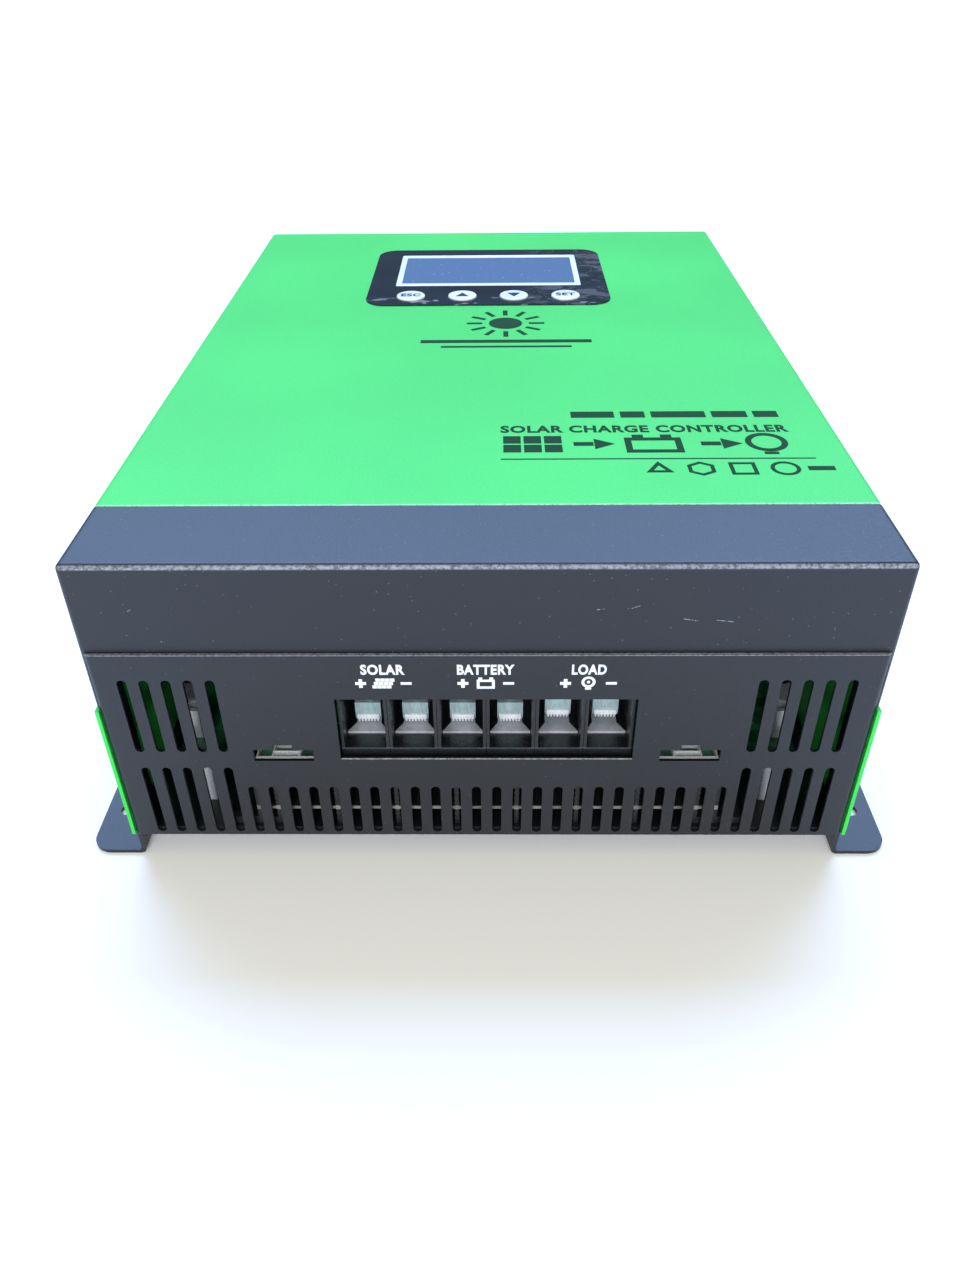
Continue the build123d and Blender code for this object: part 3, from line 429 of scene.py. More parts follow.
@dataclass(frozen=True)
class Plated:
    """Zinc, tin or chrome plate over steel, with fine drawing lines along one axis."""

    name: str
    colour: Colour
    roughness: float
    grain: Point = (1.0, 1.0, 1.0)
    tint: Optional[Colour] = None
    stain: float = 0.35
    metallic: float = 1.0
    line_size: float = 0.6 * MM
    line_depth: float = 0.04 * MM
    cloud_size: float = 4.0 * MM

    def material(self) -> bpy.types.Material:
        """Build the plate.

        Returns:
            The material.
        """
        g = Graph(self.name)
        lines = g.noise(self.line_size, 3.0, g.stretched(self.grain), 0.6)
        cloud = g.noise(self.cloud_size, 3.0)
        colour = g.mottled(self.colour, lines, 0.82, 1.1)
        colour = g.mix(cloud.ramp(0.45, 0.75) * self.stain, colour, self.tint or shade(self.colour, 0.6))
        rough = self.roughness + (lines - 0.5) * 0.3 + (cloud - 0.5) * 0.15
        return g.finish(Base_Color=colour, Roughness=rough, Metallic=self.metallic,
                        Normal=g.bump(lines, self.line_depth))


@dataclass(frozen=True)
class Moulded:
    """Injection-moulded plastic with a spark-eroded grain, a little scuffing and a painted highlight along
    one edge.
    """

    name: str
    colour: Colour
    roughness: float
    scuff: float
    grain_depth: float = 0.03 * MM
    highlight_y: Optional[float] = None
    highlight_z: float = 0.0
    grain_size: float = 0.5 * MM
    cloud_size: float = 20.0 * MM
    scuff_size: float = 8.0 * MM
    highlight_width: tuple[float, float] = (0.1 * MM, 0.5 * MM)

    def material(self) -> bpy.types.Material:
        """Build the plastic.

        Returns:
            The material.
        """
        g = Graph(self.name)
        grain = g.noise(self.grain_size, 2.0)
        cloud = g.noise(self.cloud_size, 3.0)
        scuff = g.noise(self.scuff_size, 2.0, g.stretched((1.0, 1.0, 14.0))).ramp(0.62, 0.72)
        colour = g.mottled(self.colour, cloud, 0.88, 1.12)
        colour = g.mix(scuff * self.scuff, colour, shade(self.colour, 3.0))
        # painted highlight along one edge
        if self.highlight_y is not None:
            edge = g.y.near(self.highlight_y, *self.highlight_width) * g.z.near(self.highlight_z, *self.highlight_width)
            colour = g.mix(edge * 0.8, colour, shade(self.colour, 7.0))
        rough = self.roughness + (grain - 0.5) * 0.2 + scuff * 0.12
        return g.finish(Base_Color=colour, Roughness=rough, Normal=g.bump(grain, self.grain_depth))


@dataclass(frozen=True)
class Extrusion:
    """Black-anodised extrusion with die lines along its length and a paler band along its web's front
    edge.
    """

    name: str
    colour: Colour
    web_colour: Colour
    web_z: float
    front_y: float
    web_width: tuple[float, float] = (0.8 * MM, 1.1 * MM)
    web_reach: float = 0.4 * MM
    line_size: float = 0.8 * MM
    line_depth: float = 0.08 * MM
    cloud_size: float = 10.0 * MM

    def material(self) -> bpy.types.Material:
        """Build the metal.

        Returns:
            The material.
        """
        g = Graph(self.name)
        lines = g.noise(self.line_size, 3.0, g.stretched((1.0, 0.02, 1.0)), 0.65)
        cloud = g.noise(self.cloud_size, 2.0)
        colour = g.mottled(self.colour, lines, 0.7, 1.4, 0.35, 0.65)
        web = g.z.near(self.web_z, *self.web_width) * (g.y < self.front_y + self.web_reach)
        colour = g.mix(web * (0.6 + 0.4 * cloud.ramp(0.4, 0.6)), colour, self.web_colour)
        rough = 0.42 + (lines - 0.5) * 0.35 + (cloud - 0.5) * 0.1
        return g.finish(Base_Color=colour, Roughness=rough, Metallic=0.35,
                        Normal=g.bump(lines, self.line_depth))


@dataclass(frozen=True)
class CircuitBoard:
    """Green solder mask over copper tracks, with plated pads."""

    name: str
    mask: Colour = (0.012, 0.11, 0.045)
    track: Colour = (0.025, 0.19, 0.075)
    pad: Colour = (0.72, 0.72, 0.68)
    track_pitch: float = 5.4 * MM
    pad_pitch: float = 9.0 * MM
    zone_size: float = 45.0 * MM
    haze_size: float = 2.0 * MM
    relief: float = 0.04 * MM

    def material(self) -> bpy.types.Material:
        """Build the board's finish.

        Returns:
            The material.
        """
        g = Graph(self.name)
        pitch = self.track_pitch
        along_x = (g.x + (g.noise(0.03, 0.0) - 0.5) * 0.02).modulo(pitch) < pitch * 0.42
        along_y = (g.y + (g.noise(0.04, 0.0) - 0.5) * 0.03).modulo(pitch * 1.6) < pitch * 0.5
        zone = g.noise(self.zone_size, 0.0) > 0.5
        tracks = along_x * zone + along_y * (1.0 - zone)
        pads = g.cells(self.pad_pitch) < 0.13
        colour = g.mix(pads, g.mix(tracks, self.mask, self.track), self.pad)
        rough = 0.34 + (g.noise(self.haze_size, 2.0) - 0.5) * 0.2
        return g.finish(Base_Color=colour, Roughness=rough, Metallic=pads * 0.8,
                        Normal=g.bump(tracks + pads, self.relief))


@dataclass(frozen=True)
class GlossFilm:
    """Back-printed polyester overlay under a clinging, rippled protective film, with painted reflections
    in patches, streaks and spots across one side.
    """

    name: str
    colour: Colour
    reflection_colour: Colour
    reflection_from_x: float
    reflection_fade: float
    reflection_spot_y: float
    reflection_spot_width: tuple[float, float] = (2.0 * MM, 9.0 * MM)
    ripple_size: float = 14.0 * MM
    ripple_depth: float = 0.3 * MM
    cloud_size: float = 30.0 * MM
    # size of the painted reflection spots
    peel_size: float = 9.0 * MM

    def material(self) -> bpy.types.Material:
        """Build the film.

        Returns:
            The material.
        """
        g = Graph(self.name)
        ripple = g.noise(self.ripple_size, 3.0, g.stretched((1.0, 1.6, 1.0)))
        side = g.x.ramp(self.reflection_from_x, self.reflection_from_x + self.reflection_fade)
        # painted reflection: light patches and streaks where the ripple rises, on one side only
        reflection_patch = side * ripple.ramp(0.53, 0.60)
        reflection_streak = side * ripple.near(0.47, 0.0, 0.02)
        cloud = g.noise(self.cloud_size, 2.0)
        colour = g.mottled(self.colour, cloud, 0.85, 1.2)
        colour = g.mix(reflection_patch * 0.5, colour, self.reflection_colour)
        colour = g.mix(reflection_streak * 0.3, colour, shade(self.reflection_colour, 1.6))
        # painted reflection spots along one line across the overlay
        reflection_spot = g.noise(self.peel_size, 1.0, g.stretched((1.0, 1.8, 1.0))).ramp(0.60, 0.64)
        colour = g.mix(reflection_spot * g.y.near(self.reflection_spot_y, *self.reflection_spot_width) * 0.7, colour,
                       shade(self.reflection_colour, 2.0))
        rough = 0.14 + reflection_patch * 0.12 + (cloud - 0.5) * 0.05
        return g.finish(Base_Color=colour, Roughness=rough, IOR=1.2,
                        Normal=g.bump(ripple, self.ripple_depth, 0.2))


@dataclass(frozen=True)
class LcdFace:
    """The face of an unpowered graphic display: a blue-grey cell with a faint dot grid."""

    name: str
    low: Colour
    high: Colour
    from_y: float
    to_y: float
    dot_pitch: float = 0.62 * MM
    dot_gap: float = 0.16
    cloud_size: float = 30.0 * MM

    def material(self) -> bpy.types.Material:
        """Build the display's face.

        Returns:
            The material.
        """
        g = Graph(self.name)
        colour = g.mix(g.y.ramp(self.from_y, self.to_y), self.low, self.high)
        gap = self.dot_pitch * self.dot_gap
        dots = (g.x.modulo(self.dot_pitch) < gap) + (g.y.modulo(self.dot_pitch) < gap)
        colour = g.mix(dots * 0.10, colour, shade(self.low, 0.5))
        cloud = g.noise(self.cloud_size, 1.0)
        colour = g.mix(cloud.ramp(0.5, 0.7) * 0.18, colour, shade(self.high, 1.25))
        return g.finish(Base_Color=colour, Roughness=0.3 + (cloud - 0.5) * 0.1, IOR=1.25)


@dataclass(frozen=True)
class ClearSheet:
    """Tinted acrylic with faint dust."""

    name: str
    colour: Colour
    alpha: float
    dust_size: float = 1.6 * MM
    haze_size: float = 30.0 * MM
    dust_colour: Colour = (0.9, 0.9, 0.9)

    def material(self) -> bpy.types.Material:
        """Build the acrylic.

        Returns:
            The material.
        """
        g = Graph(self.name)
        dust = g.noise(self.dust_size, 3.0).ramp(0.66, 0.74)
        haze = g.noise(self.haze_size, 2.0)
        made = g.finish(Base_Color=g.mix(dust * 0.4, self.colour, self.dust_colour),
                        Roughness=0.05 + dust * 0.3 + (haze - 0.5) * 0.04,
                        Alpha=self.alpha + dust * 0.10, IOR=1.22)
        made.surface_render_method = "BLENDED"
        return made


@dataclass(frozen=True)
class Ink:
    """Screen-printed ink with pinholes."""

    name: str
    colour: Colour
    roughness: float = 0.5
    pinholes: float = 0.12
    mesh_size: float = 0.5 * MM
    relief: float = 0.02 * MM

    def material(self) -> bpy.types.Material:
        """Build the ink.

        Returns:
            The material.
        """
        g = Graph(self.name)
        mesh = g.noise(self.mesh_size, 2.0)
        colour = g.mix(mesh.ramp(0.56, 0.74) * self.pinholes, self.colour, shade(self.colour, 0.35))
        return g.finish(Base_Color=colour, Roughness=self.roughness + (mesh - 0.5) * 0.2,
                        Specular_IOR_Level=0.05, Normal=g.bump(mesh, self.relief))


@dataclass(frozen=True)
class CoilWire:
    """Enamelled copper wire: warm varnish with darker burnt patches."""

    name: str
    colour: Colour = (0.52, 0.17, 0.06)
    cloud_size: float = 6.0 * MM
    relief: float = 0.1 * MM

    def material(self) -> bpy.types.Material:
        """Build the wire's finish.

        Returns:
            The material.
        """
        g = Graph(self.name)
        cloud = g.noise(self.cloud_size, 3.0)
        return g.finish(Base_Color=g.mottled(self.colour, cloud, 0.7, 1.25, 0.35, 0.65),
                        Roughness=0.22 + (cloud - 0.5) * 0.2, Metallic=0.85,
                        Coat_Weight=0.5, Normal=g.bump(cloud, self.relief))


@dataclass(frozen=True)
class CanSleeve:
    """Capacitor cans: printed sleeve with a minus stripe, and a bare aluminium top."""

    name: str
    top: float
    colour: Colour = (0.012, 0.02, 0.05)
    stripe_colour: Colour = (0.35, 0.37, 0.42)
    top_colour: Colour = (0.7, 0.7, 0.72)
    rim: tuple[float, float] = (0.9 * MM, 0.5 * MM)
    stripe_size: float = 14.0 * MM
    haze_size: float = 1.0 * MM

    def material(self) -> bpy.types.Material:
        """Build the sleeve.

        Returns:
            The material.
        """
        g = Graph(self.name)
        bare = g.z.ramp(*(self.top - depth for depth in self.rim))
        stripe = (g.noise(self.stripe_size, 0.0, g.stretched((1.0, 1.0, 0.0))) > 0.56) * (1.0 - bare)
        colour = g.mix(stripe * 0.7, self.colour, self.stripe_colour)
        colour = g.mix(bare, colour, self.top_colour)
        rough = 0.25 + bare * 0.15 + (g.noise(self.haze_size, 2.0) - 0.5) * 0.1
        return g.finish(Base_Color=colour, Roughness=rough, Metallic=bare * 0.95)


@dataclass(frozen=True)
class RibbonFilm:
    """Flat ribbon cable: grey moulded cores side by side, with painted shade in the grooves between them
    and one marked edge.
    """

    name: str
    core_pitch: float
    edge_x: float
    groove_shade_colour: Colour = (0.22, 0.22, 0.23)
    core_colour: Colour = (0.5, 0.5, 0.5)
    mark_colour: Colour = (0.55, 0.05, 0.04)
    relief: float = 0.3 * MM

    def material(self) -> bpy.types.Material:
        """Build the ribbon's finish.

        Returns:
            The material.
        """
        g = Graph(self.name)
        core = (g.x * (2.0 * math.pi / self.core_pitch)).sine()
        # painted shade: the grooves between the cores are darker
        colour = g.mix(core.ramp(-1.0, 0.2), self.groove_shade_colour, self.core_colour)
        colour = g.mix(g.x < self.edge_x, colour, self.mark_colour)
        return g.finish(Base_Color=colour, Roughness=0.5 + core * 0.04, Normal=g.bump(core, self.relief))


@dataclass(frozen=True)
class Putty:
    """A soft matt solid, such as a thermal pad or pressed iron powder."""

    name: str
    colour: Colour
    metallic: float = 0.0
    grain_size: float = 0.7 * MM
    relief: float = 0.08 * MM

    def material(self) -> bpy.types.Material:
        """Build the solid's finish.

        Returns:
            The material.
        """
        g = Graph(self.name)
        grain = g.noise(self.grain_size, 3.0, roughness=0.7)
        return g.finish(Base_Color=g.mottled(self.colour, grain, 0.75, 1.25),
                        Roughness=0.75 + (grain - 0.5) * 0.2, Metallic=self.metallic,
                        Normal=g.bump(grain, self.relief))


@dataclass(frozen=True)
class StudioDome:
    """An evenly lit pale backdrop."""

    name: str = "studio_dome"
    colour: Colour = (0.93, 0.955, 1.0)

    def material(self) -> bpy.types.Material:
        """Build the backdrop's finish."""
        return Graph(self.name).finish(Base_Color=(0.0, 0.0, 0.0), Specular_IOR_Level=0.0,
                                       Emission_Color=self.colour, Emission_Strength=1.0)


@dataclass(frozen=True)
class StudioFloor:
    """A pale matt floor that glows a little, so that shadows stay light."""

    name: str = "studio_floor"
    colour: Colour = (0.95, 0.95, 0.95)
    glow: float = 0.2
    cloud_size: float = 0.8

    def material(self) -> bpy.types.Material:
        """Build the floor's finish.

        Returns:
            The material.
        """
        g = Graph(self.name)
        colour = g.mottled(self.colour, g.noise(self.cloud_size, 2.0), 0.99, 1.0)
        return g.finish(Base_Color=colour, Roughness=0.8, Emission_Color=colour,
                        Emission_Strength=self.glow)


def dress(node: str, material: bpy.types.Material) -> None:
    """Give every material slot of a CAD node one finish.

    Args:
        node: The CAD node's name.
        material: The finish.
    """
    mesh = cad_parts[node].data
    if not mesh.materials:
        mesh.materials.append(material)
    for index in range(len(mesh.materials)):
        mesh.materials[index] = material
    LOG.info("dressed %s in %s", node, material.name)


# --------------------------------------------------------------------------------------- modelling
class Pick(Enum):
    """What a selection in edit mode takes."""

    VERT = "VERT"
    EDGE = "EDGE"
    FACE = "FACE"


class Blank:
    """One mesh on the bench: a primitive that is then shaped by edit-mode operators."""

    def __init__(self, name: str) -> None:
        """Take the active object, which a primitive operator has just added.

        Args:
            name: The piece's name.
        """
        self.object = bpy.context.object
        self.object.name = name

    @staticmethod
    def clear() -> None:
        """Leave edit mode and deselect everything."""
        if bpy.context.object and bpy.context.object.mode != "OBJECT":
            bpy.ops.object.mode_set(mode="OBJECT")
        bpy.ops.object.select_all(action="DESELECT")

    @classmethod
    def box(cls, name: str, low: Iterable[float], high: Iterable[float]) -> "Blank":
        """Start from a block between two corners.

        Args:
            name: The piece's name.
            low: The lowest corner.
            high: The highest corner.

        Returns:
            The block.
        """
        cls.clear()
        low_corner, high_corner = Vector(low), Vector(high)
        bpy.ops.mesh.primitive_cube_add(size=1.0, location=(low_corner + high_corner) / 2)
        bpy.context.object.scale = high_corner - low_corner
        blank = cls(name)
        blank.settle()
        return blank

    @classmethod
    def disc(cls, name: str, centre: Point, radius: float, sides: int = 32, turn: float = 0.0) -> "Blank":
        """Start from a flat filled circle that looks up.

        Args:
            name: The piece's name.
            centre: Its middle.
            radius: Its radius.
            sides: Its corner count.
            turn: Its turn about Z, in degrees.

        Returns:
            The disc.
        """
        cls.clear()
        bpy.ops.mesh.primitive_circle_add(vertices=sides, radius=radius, fill_type="NGON", location=centre,
                                          rotation=(0.0, 0.0, math.radians(turn)))
        blank = cls(name)
        blank.settle()
        return blank

    @classmethod
    def rod(cls, name: str, start: Point, end: Point, radius: float, sides: int = 16) -> "Blank":
        """Start from a cylinder between two points.

        Args:
            name: The piece's name.
            start: The middle of one end.
            end: The middle of the other end.
            radius: Its radius.
            sides: Its side count.

        Returns:
            The rod.
        """
        cls.clear()
        first, last = Vector(start), Vector(end)
        along = last - first
        bpy.ops.mesh.primitive_cylinder_add(vertices=sides, radius=radius, depth=along.length,
                                            location=(first + last) / 2,
                                            rotation=along.to_track_quat("Z", "Y").to_euler())
        blank = cls(name)
        blank.settle()
        return blank

    @classmethod
    def wire_ring(cls, name: str, centre: Point, radius: float, wire: float, steps: int = 48,
                  sides: int = 8) -> "Blank":
        """Spin a wire's section about a line along Y.

        Args:
            name: The piece's name.
            centre: The ring's middle.
            radius: From the middle to the wire's centre line.
            wire: The wire's radius.
            steps: Sections around the ring.
            sides: Corners of the section.

        Returns:
            The ring.
        """
        cls.clear()
        place = (centre[0] + radius, centre[1], centre[2])
        bpy.ops.mesh.primitive_circle_add(vertices=sides, radius=wire, location=place)
        blank = cls(name)
        blank.settle()
        bpy.ops.object.mode_set(mode="EDIT")
        bpy.ops.mesh.select_all(action="SELECT")
        bpy.ops.mesh.spin(steps=steps, angle=2 * math.pi, center=centre, axis=(0.0, 1.0, 0.0))
        bpy.ops.mesh.select_all(action="SELECT")
        bpy.ops.mesh.remove_doubles(threshold=wire * 0.01)
        bpy.ops.mesh.normals_make_consistent(inside=False)
        return blank.leave()

    @classmethod
    def wire_loop(cls, name: str, half_width: float, half_height: float, corner: float,
                  wire: float) -> "Blank":
        """A rounded rectangular loop of wire in the XZ plane, around the origin.

        Args:
            name: The piece's name.
            half_width: From the middle to the wire's centre line, across.
            half_height: The same, upwards.
            corner: The corners' radius.
            wire: The wire's radius.

        Returns:
            The loop.
        """
        cls.clear()
        bpy.ops.mesh.primitive_torus_add(major_radius=corner, minor_radius=wire, major_segments=16,
                                         minor_segments=8, rotation=(math.pi / 2, math.pi / 16, 0.0))
        blank = cls(name)
        blank.settle()
        for axis, reach in ((0, half_width - corner), (2, half_height - corner)):
            for hand in (-1, 1):
                step = [0.0, 0.0, 0.0]
                step[axis] = hand * reach
                blank.pick(Pick.VERT, lambda at, _, a=axis, h=hand: h * at[a] > 0.0)
                bpy.ops.transform.translate(value=step)
        return blank.leave()

    def take(self) -> None:
        """Select this object alone and make it the active one."""
        self.clear()
        self.object.select_set(True)
        bpy.context.view_layer.objects.active = self.object

    def settle(self) -> None:
        """Move the object's place, turn and scale into its mesh."""
        self.take()
        bpy.ops.object.transform_apply(location=True, rotation=True, scale=True)

    def pick(self, what: Pick, test: Callable[[Vector, Vector], bool]) -> "Blank":
        """Enter edit mode and select by place and normal.

        Args:
            what: Vertices, edges or faces.
            test: Takes an element's middle and its normal (an edge has its direction), and says
                whether it is selected.

        Returns:
            This blank.
        """
        self.take()
        bpy.ops.object.mode_set(mode="EDIT")
        bpy.ops.mesh.select_mode(type=what.value)
        bpy.ops.mesh.select_all(action="DESELECT")
        mesh = bmesh.from_edit_mesh(self.object.data)
        if what is Pick.FACE:
            for face in mesh.faces:
                face.select_set(test(face.calc_center_median(), face.normal))
        elif what is Pick.EDGE:
            for edge in mesh.edges:
                first, last = (v.co for v in edge.verts)
                edge.select_set(test((first + last) / 2, (last - first).normalized()))
        else:
            for vert in mesh.verts:
                vert.select_set(test(vert.co, vert.normal))
        mesh.select_flush_mode()
        bmesh.update_edit_mesh(self.object.data)
        return self

    def extrude(self, offset: Point) -> "Blank":
        """Extrude what is selected.

        Args:
            offset: How far the new faces move.

        Returns:
            This blank.
        """
        bpy.ops.mesh.extrude_region_move(TRANSFORM_OT_translate={"value": offset})
        return self

    def hollow(self, line: float) -> "Blank":
        """Cut the middle out of a flat outline.

        Args:
            line: The width of the rim that is left.

        Returns:
            This blank.
        """
        self.pick(Pick.FACE, lambda middle, normal: True)
        bpy.ops.mesh.inset(thickness=line, depth=0.0, use_boundary=True)
        bpy.ops.mesh.delete(type="FACE")
        return self.leave()

    def bevel(self, width: float, segments: int) -> "Blank":
        """Bevel the selected edges."""
        bpy.ops.mesh.bevel(offset=width, segments=segments, profile=0.5, affect="EDGES")
        return self

    def leave(self) -> "Blank":
        """Back to object mode."""
        self.clear()
        return self

    def thicken(self, offset: Point) -> "Blank":
        """Extrude a flat outline into a closed thin solid.

        Args:
            offset: The direction and thickness.

        Returns:
            This blank.
        """
        self.pick(Pick.FACE, lambda middle, normal: True)
        self.extrude(offset)
        bpy.ops.mesh.select_all(action="SELECT")
        bpy.ops.mesh.normals_make_consistent(inside=False)
        return self.leave()

    def copy(self, offset: Point) -> "Blank":
        """A copy with its own mesh, moved.

        Args:
            offset: How far the copy stands from this one.

        Returns:
            The copy.
        """
        self.take()
        bpy.ops.object.duplicate(linked=False)
        bpy.ops.transform.translate(value=offset)
        twin = Blank(self.object.name)
        twin.settle()
        return twin

    def turned(self, angle: float, axis: Point, centre: Point) -> "Blank":
        """Turn the mesh about a line.

        Args:
            angle: The turn in degrees, by the right-hand rule.
            axis: The line's direction.
            centre: A point on the line.

        Returns:
            This blank.
        """
        middle = Vector(centre)
        turn = Matrix.Rotation(math.radians(angle), 4, Vector(axis))
        self.object.matrix_world = Matrix.Translation(middle) @ turn @ Matrix.Translation(-middle)
        self.settle()
        return self

    @classmethod
    def joined(cls, name: str, parts: list["Blank"]) -> "Blank":
        """Several blanks as one mesh.

        Args:
            name: The new piece's name.
            parts: What goes into it.

        Returns:
            The joined blank.
        """
        cls.clear()
        for part in parts:
            part.object.select_set(True)
        bpy.context.view_layer.objects.active = parts[0].object
        if len(parts) > 1:
            bpy.ops.object.join()
        return cls(name)

    def finish(self, body: str, slot: str, material: bpy.types.Material,
               smooth_under: Optional[float] = None) -> bpy.types.Object:
        """Dress the piece, seat it on its body and report it.

        Args:
            body: The CAD body that it rides on.
            slot: The name of a material slot; not used.
            material: Its finish.
            smooth_under: Edges flatter than this many degrees are shaded smooth.

        Returns:
            The finished object.
        """
        self.settle()
        if smooth_under is not None:
            bpy.ops.object.shade_smooth_by_angle(angle=math.radians(smooth_under))
        self.object.data.materials.clear()
        self.object.data.materials.append(material)
        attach(self.object, body)
        LOG.info("made %s on %s with %d faces", self.object.name, body,
                 len(self.object.data.polygons))
        return self.object


class Print:
    """A screen print: flat marks drawn in a local plane and laid on a surface."""

    THICKNESS = 0.05 * MM
    BOLD = 0.038                      # how far each stroke is thickened, as a share of the type size
    CAPITALS = 0.7                    # a capital's height, as a share of the type size
    SPACING = 1.1
    STEPS = 4                         # straight steps in each curve of a letter

    def __init__(self, name: str) -> None:
        """Start an empty print.

        Args:
            name: The piece's name.
        """
        self.name = name
        self.marks: list[Blank] = []
        self.letters: list[Blank] = []

    def bar(self, x: float, y: float, width: float, height: float, turn: float = 0.0) -> "Print":
        """Add a filled bar.

        Args:
            x: Its middle across.
            y: Its middle up.
            width: Its size across.
            height: Its size up.
            turn: Its turn in degrees, counter-clockwise.

        Returns:
            This print.
        """
        Blank.clear()
        bpy.ops.mesh.primitive_plane_add(size=1.0)
        bpy.context.object.scale = (width, height, 1.0)
        mark = Blank(self.name)
        mark.settle()
        if turn:
            mark.turned(turn, UP, ORIGIN)
        mark.object.location = (x, y, 0.0)
        mark.settle()
        self.marks.append(mark)
        return self

    def plus(self, x: float, y: float, size: float) -> "Print":
        """Add a plus sign, a third as thick as it is wide.

        Args:
            x: Its middle across.
            y: Its middle up.
            size: Its size.

        Returns:
            This print.
        """
        Blank.clear()
        bpy.ops.mesh.primitive_grid_add(x_subdivisions=3, y_subdivisions=3, size=size,
                                        location=(x, y, 0.0))
        mark = Blank(self.name)
        mark.settle()
        mark.pick(Pick.FACE, lambda middle, _: min(abs(middle.x - x), abs(middle.y - y)) > size / 6)
        bpy.ops.mesh.delete(type="FACE")
        mark.leave()
        self.marks.append(mark)
        return self

    def disc(self, x: float, y: float, radius: float, sides: int = 28, turn: float = 0.0) -> "Print":
        """Add a filled circle or regular polygon.

        Args:
            x: Its middle across.
            y: Its middle up.
            radius: Its radius.
            sides: Its corner count.
            turn: Its turn in degrees.

        Returns:
            This print.
        """
        self.marks.append(Blank.disc(self.name, (x, y, 0.0), radius, sides, turn))
        return self

    def ring(self, x: float, y: float, radius: float, width: float, sides: int = 32) -> "Print":
        """Add a ring or an open polygon frame.

        Args:
            x: Its middle across.
            y: Its middle up.
            radius: Its outer radius.
            width: The width of its line.
            sides: Its corner count.

        Returns:
            This print.
        """
        self.disc(x, y, radius, sides)
        self.marks[-1].hollow(width)
        return self

    def frame(self, x: float, y: float, width: float, height: float, line: float) -> "Print":
        """Add an open rectangle.

        Args:
            x: Its middle across.
            y: Its middle up.
            width: Its outer size across.
            height: Its outer size up.
            line: The width of its line.

        Returns:
            This print.
        """
        self.bar(x, y, width, height)
        self.marks[-1].hollow(line)
        return self

    def words(self, text: str, x: float, y: float, height: float, width: float) -> "Print":
        """Add generic lettering, centred.

        Args:
            text: What it says.
            x: Its middle across.
            y: Its middle up.
            height: Its capital height.
            width: The width that it is set to.

        Returns:
            This print.
        """
        Blank.clear()
        bpy.ops.object.text_add()
        curve = bpy.context.object.data
        curve.body = text
        curve.size = height / self.CAPITALS
        curve.offset = self.BOLD * curve.size
        curve.space_character = self.SPACING
        curve.resolution_u = self.STEPS
        curve.extrude = self.THICKNESS / 2
        bpy.ops.object.convert(target="MESH")
        mark = Blank(self.name)
        places = [vert.co for vert in mark.object.data.vertices]
        left, right = min(v.x for v in places), max(v.x for v in places)
        low, high = min(v.y for v in places), max(v.y for v in places)
        stretch = width / (right - left)
        mark.object.scale = (stretch, 1.0, 1.0)
        mark.object.location = (x - stretch * (left + right) / 2, y - (low + high) / 2,
                                self.THICKNESS / 2)
        mark.settle()
        self.letters.append(mark)
        return self

    def lay(self, origin: Point, face_front: bool, body: str, slot: str,
            material: bpy.types.Material) -> bpy.types.Object:
        """Thicken the marks and put them on their surface.

        Args:
            origin: Where the print's own zero goes.
            face_front: True for a wall that looks along -Y, False for a top face.
            body: The CAD body that the print rides on.
            slot: The name of its material slot.
            material: The ink.

        Returns:
            The finished print.
        """
        pieces = list(self.letters)
        if self.marks:
            flat = Blank.joined(self.name, self.marks)
            flat.thicken((0.0, 0.0, self.THICKNESS))
            pieces.append(flat)
        whole = Blank.joined(self.name, pieces)
        if face_front:
            whole.turned(90.0, (1.0, 0.0, 0.0), ORIGIN)
        whole.object.location = origin
        return whole.finish(body, slot, material)


